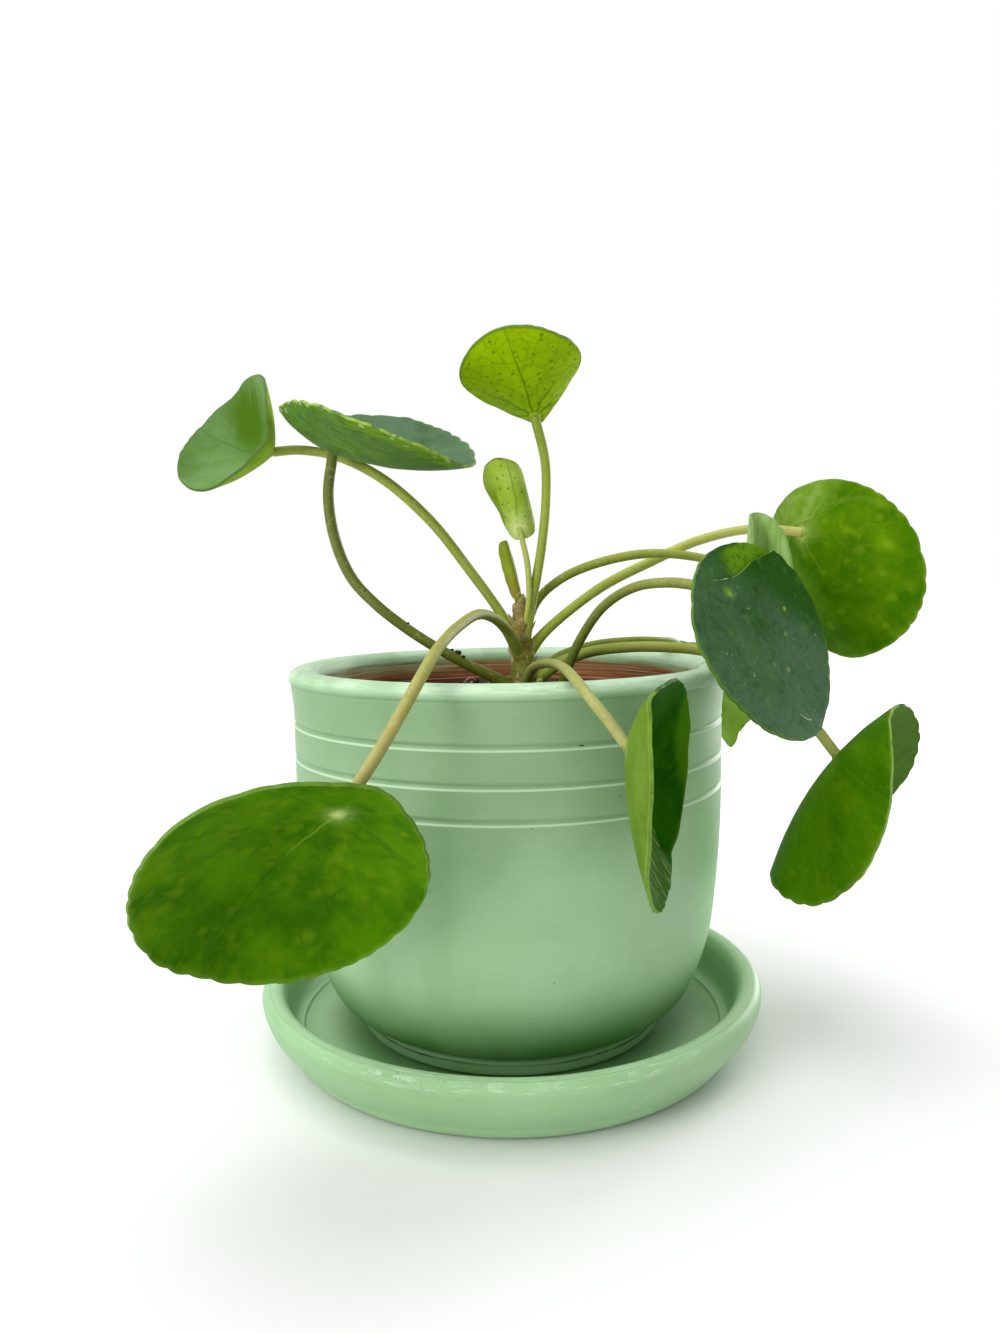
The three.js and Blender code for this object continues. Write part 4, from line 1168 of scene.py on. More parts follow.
def shape_blade(name, blade, disc):
    """Copies the cut disc and curls it into this blade, with its flat map and its thickness."""
    take_up(disc)
    bpy.ops.object.duplicate()
    piece = bpy.context.object
    open_up(piece)
    mesh = bmesh.from_edit_mesh(piece.data)
    flat_map = mesh.loops.layers.uv.new("flat")
    ring_map = mesh.loops.layers.uv.new("ring")
    slit = blade.get("slit")
    middle = Vector(slit["start"]) if slit else Vector((0, 0))
    first = radians(slit["angle"] - slit["lap"]) if slit else 0.0
    sweep = 2 * math.pi + (radians(slit["lap"]) if slit else 0.0)
    half = blade["length"] / 2
    tip, left, up = blade_basis(blade)
    origin = curl(blade, 0, 0)
    at = Vector(blade["at"])
    seed = sum(ord(letter) for letter in name)
    trim = TRIM.get(name, 1.0)
    spacing = math.pi / DISC_COLUMNS
    face_up = sum((face.normal for face in mesh.faces), Vector()).z > 0
    flat = {}
    for vertex in mesh.verts:
        share = vertex.co.length
        turn = math.atan2(vertex.co.y, vertex.co.x) % (2 * math.pi)
        if slit:
            turn = (turn - spacing) / (2 * math.pi - 2 * spacing)
            turn = first + sweep * min(1.0, max(0.0, turn))
        p, q = outline_point(blade, turn, TEETH[name], DENTS.get(name, ()))
        p, q = p * trim, q * trim
        p, q = middle.x + (p - middle.x) * share, middle.y + (q - middle.y) * share
        sunk, off_slit = 0.0, 1.0
        if slit:
            lobe = max(0.0, 1 - (turn - first) / radians(slit["span"]))
            sunk = slit["drop"] * lobe * share ** 0.6
            # The cut wanders: the leaf on both sides of it is pushed over
            away = min(turn - first, first + sweep - turn)
            push = 1.5 * max(0.0, 1 - away / 1.0) ** 2 * math.sin(math.pi * min(1, share / 0.62))
            p, q = p + 0.95 * push, q - 0.3 * push
            off_slit = min(1.0, (first + sweep - turn) * share * half / 10)
        flat[vertex.index] = (p, q, share, off_slit)
        wave = 0.16 * share ** 3 * math.sin(5 * turn + seed) + 0.10 * share ** 4 * math.sin(
            11 * turn + 2 * seed)
        sunk += wave - blade.get("lift", 0.0) * min(0.0, p) ** 2
        sunk -= 0.07 * min(1.0, share * 3) * math.sin(0.55 * p + seed) * math.sin(0.6 * q)
        place = curl(blade, p, q, sunk) - origin
        vertex.co = (at + tip * place.x + left * place.y + up * place.z) * MM
    for face in mesh.faces:
        for loop in face.loops:
            p, q, share, off_slit = flat[loop.vert.index]
            loop[flat_map].uv = (p / FLAT_MAP_SPAN + FLAT_MAP_JOINT[0],
                                 q / FLAT_MAP_SPAN + FLAT_MAP_JOINT[1])
            loop[ring_map].uv = (share, off_slit)
    bmesh.update_edit_mesh(piece.data)
    pick()
    if not face_up:
        bpy.ops.mesh.flip_normals()
    close_up()
    upper, under = LOOKS[name]
    for face, look in (("upper", upper), ("under", under)):
        coat(piece, leaf_look(f"leaf_{name}_{face}", look, half, float(seed % 97),
                              BLADE_MARKS.get((name, face))))
    coat(piece, rim_look(f"leaf_{name}_rim", under))
    apply_modifier(piece, "SOLIDIFY", thickness=BLADE_THICKNESS * MM, offset=0.0,
                   use_rim=True, material_offset=1, material_offset_rim=2)
    smooth(piece, 60)
    return piece


def fleck(wire, level, x, y, size):
    """Mask of one ragged speck at a place on the flat map."""
    off = (level - (x, y, 0.0)).length
    ragged = off + wire.noise(level, 1.4, 3.0, 0.7)
    return wire.step(ragged, size + 0.55, size + 0.15)


def slit_leaf_marks(wire, level, flat, slit, colour):
    """The blade with the slit: greyer toward its tip with a painted sky reflection, dark green by
    the slit where that reflection is left off, a bright lobe behind it, and pale scratches and
    specks."""
    x, y, _ = wire.split(level)
    # Painted reflection of the sky, greyer toward the tip
    colour = wire.tint(colour, wire.step(x, 6.0, 34.0) * 0.5, (84, 112, 86))
    # Dark green by the slit, where the painted reflection is left off
    across = y * 0.9 - x * 0.35 + wire.noise(flat, 0.2) * 4.0
    colour = wire.tint(colour, wire.step(across, 3.5, 14.0, 0.0, 0.9), (30, 76, 0))
    # Along and across the slit, counted from where it starts
    along = (x + 5.0) * 0.305 + (y + 2.0) * 0.952
    aside = (x + 5.0) * 0.952 - (y + 2.0) * 0.305
    patch = (wire.step(aside + wire.noise(flat, 0.35) * 3.0, -4.6, -2.6)
             * wire.step(aside, 1.9, 1.0) * wire.step(along, 5.0, 11.0))
    behind = slit > 0.6
    lobe = wire.step(aside, 1.0, -2.0) * wire.step(along, 2.0, 12.0)
    colour = wire.tint(colour, lobe * behind * 0.7, (44, 92, 8))
    colour = wire.tint(colour, patch * behind * 0.9, (98, 142, 14))
    colour = wire.tint(colour, wire.step(slit, 0.032, 0.01, 0.0, 0.8), (196, 210, 160))
    mottle = wire.noise(flat, 0.42, 5.0, 0.68, 0.8)
    colour = wire.tint(colour, wire.step(mottle, 0.5, 0.34, 0.0, 0.5), (36, 66, 30))
    colour = wire.tint(colour, wire.step(mottle, 0.54, 0.7, 0.0, 0.22), (88, 122, 80))
    streak = y - x * 0.12 + wire.noise(flat, 0.25) * 3.0
    streak = (wire.line(streak, 2.2, 2.4, 0.2) * wire.step(x, 2.0, 6.0)
              * wire.step(x, 24.0, 15.0))
    colour = wire.tint(colour, streak * 0.45, (34, 78, 10))
    glow = wire.dots(level, 8.0, 0.95, 0.5, 9.0)
    colour = wire.tint(colour, glow * 0.2, (96, 140, 44))
    marks = wire.sum("MAXIMUM", wire.dots(level, 5.4, 0.2, 0.45, 3.0),
                     wire.step(wire.noise(flat, 0.5, 5.0, 0.75, 1.6), 0.72, 0.78, 0.0, 0.25))
    colour = wire.tint(colour, marks * 0.45, (136, 160, 126))
    for place, size, tint in SLIT_LEAF_FLECKS:
        colour = wire.tint(colour, fleck(wire, level, *place, size) * 0.8, tint)
    off = (level - (34.0, -3.1, 0.0)).length
    arc = wire.line(off, 5.0, 0.3) * wire.step(y, -5.0, -5.8) * wire.step(x, 34.2, 34.8)
    return wire.tint(colour, arc * 0.7, (168, 190, 160))


# Flecks of the blade with the slit: place on its flat map, size, colour
SLIT_LEAF_FLECKS = [
    ((7.2, 2.3), 0.35, (172, 190, 150)), ((15.7, 13.3), 0.7, (140, 172, 70)),
    ((28.2, 18.2), 0.35, (176, 196, 160)), ((17.6, -13.0), 0.35, (176, 196, 164)),
    ((8.3, -15.8), 0.45, (108, 138, 112)), ((11.0, -9.0), 0.5, (92, 122, 92)),
    ((9.6, -14.7), 0.3, (120, 148, 124)), ((7.1, -16.8), 0.35, (104, 134, 108)),
    ((26.0, 0.6), 0.9, (122, 136, 74)), ((20.0, 8.0), 0.9, (98, 134, 66)),
    ((21.5, -3.0), 0.6, (96, 150, 60)), ((16.2, -16.2), 0.4, (96, 126, 100)),
]


def bent_part_sheen(wire, level, flat, slit, colour):
    """Matte grey green part above the joint, where the blade bends toward the light: painted
    sheen, bounded by a crease.
    """
    x, y, _ = wire.split(level)
    off = wire.sum("MAXIMUM", x + 3.4 + y * 0.15, x - 0.9 - y * 0.8)
    off += (wire.noise(flat, 0.25) - 0.5) * 3.0
    soft = wire.step(abs(y), 1.0, 12.0, 1.0, 5.5)
    zone = wire.step(off, soft, soft * -1.0)
    # Painted sheen on the bent part, grey green
    tone = wire.tint((102, 138, 36), wire.step(wire.noise(flat, 0.3, 4.0), 0.35, 0.65),
                     (122, 152, 66))
    colour = wire.mix(zone * 0.92, colour, tone)
    crease = wire.step(abs(off), 0.6, 0.1) * wire.step(abs(y), 12.0, 2.0)
    colour = wire.tint(colour, crease * 0.35, (156, 182, 96))
    # Curved crease across the upper part
    bow = (wire.join(x, y) - (8.9, -11.6, 0.0)).length
    bow = wire.line(bow, 12.6, 1.5, 0.1) * wire.step(x, 6.0, 0.0) * wire.step(y, -2.0, -7.0)
    colour = wire.tint(colour, bow * 0.15, (130, 160, 60))
    glow = wire.dots(level, 7.0, 1.3, 0.4, 5.0)
    return wire.tint(colour, glow * 0.22, (140, 170, 40))


def soft_spots(wire, level, flat, slit, colour):
    """Soft yellowish spots on the swellings between the veins of the large blade in front:
    painted light shining through the leaf.
    """
    glow = wire.dots(level, 4.4, 1.25, 0.75, 8.0)
    zone = wire.step(wire.noise(flat, 0.06), 0.36, 0.56)
    # Painted light shining through, in soft spots
    return wire.tint(colour, glow * zone * 0.32, (104, 140, 6))


def lit_broken_margin(wire, level, flat, slit, colour):
    """Bright green band inside the near margin, painted light where that margin is lit, with
    whitish notches and dark gaps.
    """
    x, y, _ = wire.split(level)
    away = wire.reach((x - 12.3) / 30.0, y / 28.5)
    away += wire.noise(flat, 0.16) * 0.14
    band = wire.step(away, 0.88, 0.98) * wire.step(y, -2.0, -8.0)
    stripes = wire.noise(flat * (0.5, 1.6, 1.0), 0.34, 4.0, 0.65)
    band *= wire.step(stripes, 0.36, 0.56)
    band *= wire.step(x, -4.0, 14.0, 0.1)
    # Painted light on the near margin, bright green
    colour = wire.tint(colour, band * 0.8, (106, 148, 16))
    notch = wire.dots(level, 3.0, 0.62, 0.6, 2.0) * wire.step(away, 1.0, 1.05)
    colour = wire.tint(colour, notch * 0.55, (206, 218, 156))
    gaps = wire.step(stripes, 0.48, 0.34) * wire.step(away, 0.55, 1.0, 0.45)
    return wire.tint(colour, gaps * 0.62, (48, 84, 18))


def shaded_flanks(wire, level, flat, slit, colour):
    """Darker sides of the small leaf, where it folds back: painted shade."""
    x, y, _ = wire.split(level)
    y += wire.noise(flat, 0.2) * 1.6
    left = wire.step(y, -4.2, -5.6) * wire.step(x, 14.0, 9.0)
    right = wire.step(y, 5.6, 6.6) * (wire.step(x, 15.0, 11.0) * wire.step(x, -0.5, 2.5))
    # Painted shade on both folded sides
    return wire.tint(colour, wire.sum("MAXIMUM", left, right) * 0.75, (112, 140, 10))


def green_corner(wire, level, flat, slit, colour):
    """Stronger green where the blade turns up, free of the painted sky reflection on the rest of
    it, and pale streaks that fan out beyond it.
    """
    x, y, _ = wire.split(level)
    off = wire.reach((x - 14.5) / 9.0, (y + 10.0) / 10.0)
    off += (wire.noise(flat, 0.12, 4.0, 0.6) - 0.5) * 0.9
    colour = wire.tint(colour, wire.step(off, 1.5, 0.4, 0.0, 0.95), (66, 104, 0))
    fan = wire.noise(flat * (1.0, 0.15, 1.0), 0.7, 3.0, 0.6)
    fan = wire.step(fan, 0.5, 0.66) * wire.step(y, -11.0, -18.0)
    return wire.tint(colour, fan * 0.22, (140, 168, 100))


def tip_sheen(wire, level, flat, slit, colour):
    """Grey streaked tip of the folded blade in front, where it turns into the light: painted
    sheen; and its lighter far margin.
    """
    x, y, _ = wire.split(level)
    margin = wire.step(y + wire.noise(flat, 0.3) * 3.0, 20.5, 24.0)
    colour = wire.tint(colour, margin * 0.5, (72, 118, 8))
    # Painted sheen on the tip: a greyer zone and grey streaks
    across = y + x * 0.25 + wire.noise(flat, 0.4) * 3.0
    zone = wire.step(across, 16.0, 14.0) * wire.step(x, 20.0, 25.0)
    colour = wire.tint(colour, zone * 0.7, (62, 102, 20))
    streaks = wire.noise(flat * (0.22, 1.3, 1.0), 0.7, 4.0, 0.6)
    streaks = wire.step(streaks, 0.48, 0.66) * zone
    return wire.tint(colour, streaks * 0.55, (134, 156, 116))


BLADE_MARKS = {
    ("big_right", "upper"): slit_leaf_marks, ("right", "under"): bent_part_sheen,
    ("far_left", "upper"): green_corner, ("front_right", "upper"): tip_sheen,
    ("big_left", "upper"): soft_spots, ("small", "under"): shaded_flanks,
    ("upper_left", "under"): lit_broken_margin,
}


# ---------------------------------------------------------------- stem

def stalk_bar(name, points, radii, colours, material, sides=7):
    """Round stalk along a line: a path curve with a round section, made a mesh."""
    bpy.ops.curve.primitive_nurbs_path_add(location=(0, 0, 0))
    path = bpy.context.object
    path.name = name
    data = path.data
    data.splines.clear()
    spline = data.splines.new("POLY")
    spline.points.add(len(points) - 1)
    for knot, place, radius in zip(spline.points, points, radii):
        knot.co = (*(Vector(place) * MM), 1)
        knot.radius = radius
    data.bevel_depth = MM
    data.bevel_resolution = sides - 2
    data.use_fill_caps = True
    data.twist_mode = "MINIMUM"
    bpy.ops.object.convert(target="MESH")
    piece = bpy.context.object
    paint_skin(piece, points, colours)
    coat(piece, material)
    return piece


def paint_skin(piece, points, colours):
    """Colour attribute along the stalk, from its foot to its leaf."""
    skin = piece.data.attributes.new("skin", "FLOAT_COLOR", "POINT")
    foot, leaf = (Vector(linear(colour)[:3]) for colour in colours)
    line = [Vector(p) * MM for p in points]
    for vertex, spot in zip(piece.data.vertices, skin.data):
        nearest = min(range(len(line)), key=lambda i: (line[i] - vertex.co).length_squared)
        share = nearest / max(1, len(line) - 1)
        spot.color = (*foot.lerp(leaf, min(1.0, max(0.0, share * 1.15 - 0.1))), 1.0)


def joint_pad(place, up, radius, colour):
    """Low dome on the underside of a blade, where its stalk enters."""
    bpy.ops.mesh.primitive_uv_sphere_add(segments=20, ring_count=10, radius=1.0,
                                         location=(0, 0, 0))
    pad = bpy.context.object
    wide = radius * 1.12 * MM
    pad.data.transform(Matrix.Translation(Vector(place) * MM)
                       @ Vector(up).to_track_quat("Z", "Y").to_matrix().to_4x4()
                       @ Matrix.Diagonal((wide, wide, wide * 0.42, 1)))
    paint_skin(pad, [place, place], (colour, colour))
    return pad


def grow_trunk():
    """Trunk: a circle drawn upward ring by ring, swollen between the leaf scars."""
    foot_radius = STEM_BASE_RADIUS - 1.6
    bpy.ops.mesh.primitive_circle_add(vertices=28, radius=foot_radius * MM, fill_type="NGON",
                                      location=(STEM_BASE_X * MM, 0, STEM_FOOT * MM))
    piece = bpy.context.object
    settle(piece)
    open_up(piece, "FACE")
    last_radius, last = foot_radius, Vector((STEM_BASE_X, 0, STEM_FOOT))
    for ring in range(STEM_RINGS + 1):
        share = ring / STEM_RINGS
        height = STEM_RINGS_FROM + (STEM_TOP - STEM_RINGS_FROM) * share
        radius = STEM_BASE_RADIUS + (STEM_TOP_RADIUS - STEM_BASE_RADIUS) * share ** 1.2
        scar = abs(math.sin(height * 0.62 + 0.6 * math.sin(height * 0.27)))
        radius += 0.3 * scar ** 4 - 0.14
        if ring == STEM_RINGS:
            radius *= 0.55
        lean = max(0.0, (height - STEM_LEANS_FROM) / (STEM_TOP - STEM_LEANS_FROM))
        place = Vector((STEM_BASE_X + (STEM_TOP_X - STEM_BASE_X) * lean, -0.6 * lean, height))
        pull((place - last) * MM, radius / last_radius, place * MM)
        last_radius, last = radius, place
    close_up()
    roughen(piece, "trunk_lumps", 0.0028, 0.0007)
    smooth(piece)
    return piece


def cut_scale():
    """One papery scale: a strip extruded to a point and cupped round the stem."""
    bpy.ops.mesh.primitive_plane_add(size=1.0, location=(0, 0, 0))
    piece = bpy.context.object
    piece.scale = (0.0022, 0.0011, 1)
    settle(piece)
    open_up(piece, "EDGE")
    pick("DESELECT")
    mesh = bmesh.from_edit_mesh(piece.data)
    for edge in mesh.edges:
        if all(vertex.co.y > 0 for vertex in edge.verts):
            edge.select_set(True)
    for step, width in ((0.0011, 1.06), (0.0011, 0.86), (0.0010, 0.62), (0.0009, 0.25)):
        bpy.ops.mesh.extrude_edges_move(TRANSFORM_OT_translate={"value": (0, step, 0)})
        bpy.ops.transform.resize(value=(width, 1, 1))
    pick()
    bpy.ops.mesh.subdivide(number_cuts=2)
    mesh = bmesh.from_edit_mesh(piece.data)
    for vertex in mesh.verts:
        x, y = vertex.co.x / MM, vertex.co.y / MM
        vertex.co = (x * MM, (-0.35 * x * x + 0.03 * y * y + 0.1 * math.sin(2.4 * y)) * -MM,
                     (y - 1.0) * MM)
    bmesh.update_edit_mesh(piece.data)
    bpy.ops.mesh.normals_make_consistent(inside=False)
    close_up()
    apply_modifier(piece, "SOLIDIFY", thickness=0.00012, offset=0.0)
    smooth(piece)
    return piece


def cut_crumb(material):
    """One crumb a metre across: a small ball with its corners pushed in and out."""
    bpy.ops.mesh.primitive_ico_sphere_add(subdivisions=1, radius=0.5, location=(0, 0, 0))
    piece = bpy.context.object
    roughen(piece, "crumb_form", 0.5, 0.35)
    coat(piece, material)
    return piece


def place_copy(model, matrix):
    """Copy of a piece with its own mesh, moved into place."""
    take_up(model)
    bpy.ops.object.duplicate()
    piece = bpy.context.object
    piece.data.transform(matrix)
    return piece


# ---------------------------------------------------------------- settings

class PotSettings(bpy.types.PropertyGroup):
    """Finish of the pot and its saucer."""

    paint: bpy.props.FloatVectorProperty(
        name="Paint", description="Colour of the paint on the pot and the saucer",
        subtype="COLOR", size=4, min=0, max=1, default=linear((148, 188, 138)))
    # Rubs the upper edges pale, and paints light on them
    wear_and_light: bpy.props.FloatProperty(
        name="Wear", description="How much the paint is rubbed pale along its upper edges",
        subtype="FACTOR", min=0, max=1, default=0.72)
    unevenness: bpy.props.FloatProperty(
        name="Unevenness", description="How far the hand thrown clay strays from true",
        subtype="DISTANCE", unit="LENGTH", min=0, max=0.002, default=0.0004)
    sides: bpy.props.IntProperty(
        name="Sides", description="Steps round the pot and the saucer", min=48, max=240,
        default=168)


class SoilSettings(bpy.types.PropertyGroup):
    """Top of the soil."""

    crumbs: bpy.props.IntProperty(
        name="Crumbs", description="Loose crumbs on the soil", min=0, max=600, default=330)
    crumb_size: bpy.props.FloatProperty(
        name="Crumb size", description="Largest crumb, across", subtype="DISTANCE",
        unit="LENGTH", min=0.0005, max=0.005, default=0.0026)


class PlantSettings(bpy.types.PropertyGroup):
    """Stem and leaves."""

    steps: bpy.props.IntProperty(
        name="Stalk steps", description="Rings between two points of a stalk", min=2, max=24,
        default=10)
    swelling: bpy.props.FloatProperty(
        name="Swelling", description="How much wider a stalk is at its foot", subtype="FACTOR",
        min=0, max=1, default=0.42)


class StageSettings(bpy.types.PropertyGroup):
    """Floor, lights and camera."""

    floor: bpy.props.FloatVectorProperty(
        name="Floor", description="Colour of the floor and the backdrop", subtype="COLOR",
        size=4, min=0, max=1, default=(0.82, 0.82, 0.82, 1))
    top: bpy.props.FloatProperty(
        name="Top light", description="Strength of the wide soft light from above", min=0,
        max=10, default=2.3)
    key: bpy.props.FloatProperty(
        name="Side lights", description="Power of the soft lights at the sides",
        subtype="POWER", unit="POWER", min=0, max=200, default=5.0)
    sky: bpy.props.FloatProperty(
        name="Room light", description="Strength of the even light from all round", min=0,
        max=4, default=0.5)


# ---------------------------------------------------------------- operators

class PLANT_OT_saucer(bpy.types.Operator):
    """Makes the painted saucer"""

    bl_idname = "plant.saucer"
    bl_label = "Saucer"

    def execute(self, context):
        settings = context.scene.plant_pot
        outline = SAUCER_BOTTOM + sample(SAUCER_WALL, 3) + SAUCER_FLOOR
        piece = turn_clay(outline, settings, settings.unevenness, saucer_look)
        finish_piece(piece, "saucer_painted", "glaze_saucer", "saucer")
        return {"FINISHED"}


class PLANT_OT_pot(bpy.types.Operator):
    """Makes the painted pot"""

    bl_idname = "plant.pot"
    bl_label = "Pot"

    def execute(self, context):
        settings = context.scene.plant_pot
        body = sample(POT_BODY, 4)[:-1]
        for bottom in GROOVE_BOTTOMS:
            body += sample([(radius, bottom + rise) for radius, rise in GROOVE], 2)
        outline = (sample(POT_FOOT, 2)[:-1] + body + sample(POT_RIM, 4)[:-1]
                   + sample(POT_INSIDE[:6], 4)[:-1] + POT_INSIDE[5:] + POT_UNDER[1:])
        piece = turn_clay(outline, settings, settings.unevenness * 0.5, pot_look)
        finish_piece(piece, "pot_painted", "glaze_pot", "pot")
        return {"FINISHED"}


class PLANT_OT_soil(bpy.types.Operator):
    """Makes the soil with its loose crumbs"""

    bl_idname = "plant.soil"
    bl_label = "Soil"

    def execute(self, context):
        settings = context.scene.plant_soil
        earth, grit, root = soil_look(), grainy_look("pale_grit"), grainy_look("pale_root")
        draw = random.Random(7)
        body, top = self.body(), self.top()
        for part in (body, top):
            coat(part, earth)
        take_up(body, top, *self.crumbs(settings, draw, earth, grit), *self.roots(draw, root))
        bpy.ops.object.join()
        clean(body, 1e-7)
        smooth(body, 45)
        finish_piece(body, "soil_crumbly", "soil", "soil")
        return {"FINISHED"}

    def body(self):
        """Soil down the inside of the pot."""
        edge = SOIL_TOP - SOIL_EDGE_DROP
        piece = add_circle(SOIL_SIDES, SOIL_RADIUS * MM, edge * MM)
        open_up(piece, "FACE")
        last, last_height = SOIL_RADIUS, edge
        for radius, height in SOIL_BELOW:
            pull((0, 0, (height - last_height) * MM), radius / last, (0, 0, height * MM))
            last, last_height = radius, height
        close_up()
        return piece

    def top(self):
        """Lumpy top, drawn ring by ring from the edge to the middle."""
        top = add_circle(SOIL_SIDES, SOIL_RADIUS * MM, (SOIL_TOP - SOIL_EDGE_DROP) * MM, "NOTHING")
        open_up(top, "EDGE")
        last = SOIL_RADIUS
        for ring in range(1, SOIL_RINGS):
            radius = SOIL_RADIUS * (1 - ring / SOIL_RINGS)
            rise = SOIL_EDGE_DROP * MM if ring == 1 else 0.0
            pull((0, 0, rise), radius / last, (0, 0, SOIL_TOP * MM), edges=True)
            last = radius
        close_middle()
        close_up()
        roughen(top, "soil_lumps", 0.006, 0.0022, 0.75, 3, direction="Z")
        for vertex in top.data.vertices:
            vertex.co.z += self.mound(vertex.co.x / MM, vertex.co.y / MM) * MM
        return top

    def crumbs(self, settings, draw, earth, grit):
        """Loose crumbs, a few of them small and pale."""
        crumb, pale = cut_crumb(earth), cut_crumb(grit)
        pieces = []
        for _ in range(settings.crumbs):
            radius = CRUMB_SPREAD * draw.random() ** 0.5
            angle = draw.uniform(0, 2 * math.pi)
            size = settings.crumb_size * draw.uniform(0.25, 1.0) ** 1.5
            x, y = radius * math.cos(angle), radius * math.sin(angle)
            spot = Vector((x, y, SOIL_TOP - 0.35 + self.mound(x, y))) * MM
            spot.z += 0.1 * size
            turn = Matrix.Rotation(draw.uniform(0, 6.28), 4, "Z") @ Matrix.Rotation(
                draw.uniform(0, 6.28), 4, "X")
            stretch = Matrix.Diagonal((size, size * draw.uniform(0.5, 0.9),
                                       size * draw.uniform(0.45, 0.8), 1))
            small = draw.random() < PALE_CRUMBS
            pieces.append(place_copy(pale if small else crumb, Matrix.Translation(spot) @ turn
                                     @ stretch @ Matrix.Scale(0.5 if small else 1.0, 4)))
        for model in (crumb, pale):
            bpy.data.objects.remove(model)
        return pieces

    def roots(self, draw, look):
        """Pale roots that come out of the soil and go back in."""
        pieces = []
        for x, y in ROOTS:
            turn = draw.uniform(0, math.pi)
            reach = draw.uniform(1.6, 3.2)
            base = SOIL_TOP - 0.4 + self.mound(x, y)
            line = smooth_line([
                (x + reach * k * math.cos(turn + 0.5 * k), y + reach * k * math.sin(turn),
                 base + rise) for k, rise in ((-1, -0.4), (-0.5, 0.9), (0, 1.5), (0.5, 0.8),
                                              (1, -0.4))], 4)
            pieces.append(stalk_bar("root", line, [0.13] * len(line), ((220, 210, 180),) * 2,
                                    look, 5))
        return pieces

    def mound(self, x, y):
        """How far the soil stands above its usual level: heaped at the back."""
        back = min(1.0, max(0.0, (y - 18) / 24))
        return 1.75 * back * back * (3 - 2 * back) * math.exp(-((x - 2) / 30) ** 2)


# Where pale roots show on the soil
ROOTS = [(-2.5, 44), (-4, 41), (12, 45), (-12, 46), (20, 44), (-9, -8), (14, 4), (-3, 9), (9, -12),
         (-20, -14), (24, 16)]


class PLANT_OT_stem(bpy.types.Operator):
    """Grows the trunk with its stalks, scales and stub"""

    bl_idname = "plant.stem"
    bl_label = "Stem"

    def execute(self, context):
        settings = context.scene.plant_growth
        bark, skin, paper = trunk_look(), stalk_look(), grainy_look("papery_scale")
        trunk = grow_trunk()
        coat(trunk, bark)
        take_up(trunk, *self.stalks(settings, skin), *self.short_stalks(skin),
                *self.stray_crumbs(), *self.scales(paper))
        bpy.ops.object.join()
        smooth(trunk, 70)
        finish_piece(trunk, "stem_grown", "stem", "stem")
        return {"FINISHED"}

    def stalks(self, settings, skin):
        """Every stalk with the pad under its blade."""
        pieces = []
        for name, (foot, leaf, radius, path) in STALKS.items():
            blade = BLADES[name]
            up = Vector(blade["up"]).normalized()
            joint = Vector(blade["at"])
            line = smooth_line([*path, joint - up * 0.3], settings.steps)
            line = line[:-1] + smooth_line(line[-2:], 4)[1:]
            count = len(line) - 1
            radii = []
            for i in range(count + 1):
                share = i / count
                foot_swell = settings.swelling * max(0.0, 1 - share / 0.2) ** 1.5
                radii.append(radius * (0.97 + foot_swell
                                       + 0.025 * math.sin(9 * share + radius * 40)))
            radii[-3:] = [radius * 0.93, radius * 0.8, radius * 0.55]
            pieces.append(stalk_bar(f"stalk_{name}", line, radii, (foot, leaf), skin))
            pad = Vector(LOOKS[name][1]["fresh"]).lerp(Vector(leaf), 0.6)
            pieces.append(joint_pad(joint - up * 0.42, up, radius, pad))
            coat(pieces[-1], skin)
        return pieces

    def short_stalks(self, skin):
        """Stub of a cut stalk, and the neck that carries the bud."""
        pieces = []
        for points, radius, colours in SHORT_STALKS:
            line = smooth_line(points, 6)
            radii = [radius] * (len(line) - 3) + [radius * 0.93, radius * 0.76, radius * 0.4]
            pieces.append(stalk_bar("stub", line, radii, colours, skin))
        return pieces

    def stray_crumbs(self):
        """Soil that was dropped on a stalk."""
        crumb = cut_crumb(soil_look())
        pieces = [place_copy(crumb, Matrix.Translation(Vector(place) * MM)
                             @ Matrix.Rotation(size[0], 4, "X")
                             @ Matrix.Diagonal((*(Vector(size) * MM), 1)))
                  for place, size in STRAY_CRUMBS]
        bpy.data.objects.remove(crumb)
        return pieces

    def scales(self, paper):
        """Papery scales round the trunk, the first five once more a little higher up."""
        model = cut_scale()
        coat(model, paper)
        pieces = []
        draw = random.Random(3)
        for height, turn in SCALES + [(h + 1.6, t + 130) for h, t in SCALES[:5]]:
            lean = Matrix.Rotation(radians(draw.uniform(4, 16)), 4, "X")
            out = STEM_BASE_RADIUS - 0.35 - 0.095 * max(0, height - 100)
            spot = Vector((STEM_BASE_X - 0.04 * (height - STEM_LEANS_FROM), 0, height - 1.2)) * MM
            matrix = (Matrix.Translation(spot) @ Matrix.Rotation(radians(turn + 90), 4, "Z")
                      @ Matrix.Translation((0, -out * MM, 0)) @ lean
                      @ Matrix.Scale(draw.uniform(0.8, 1.15) * (1.25 if height > 112 else 1), 4))
            pieces.append(place_copy(model, matrix))
        bpy.data.objects.remove(model)
        return pieces


class PLANT_OT_blades(bpy.types.Operator):
    """Cuts and curls every leaf blade"""

    bl_idname = "plant.blades"
    bl_label = "Leaf blades"

    def execute(self, context):
        whole = cut_disc(DISC_COLUMNS, DISC_RINGS, open_edge=False)
        split = cut_disc(DISC_COLUMNS, DISC_RINGS, open_edge=True)
        for name, blade in BLADES.items():
            piece = shape_blade(name, blade, split if "slit" in blade else whole)
            finish_piece(piece, f"leaf_{name}", SLOTS[name], f"blade_{name}")
        for disc in (whole, split):
            bpy.data.objects.remove(disc)
        return {"FINISHED"}


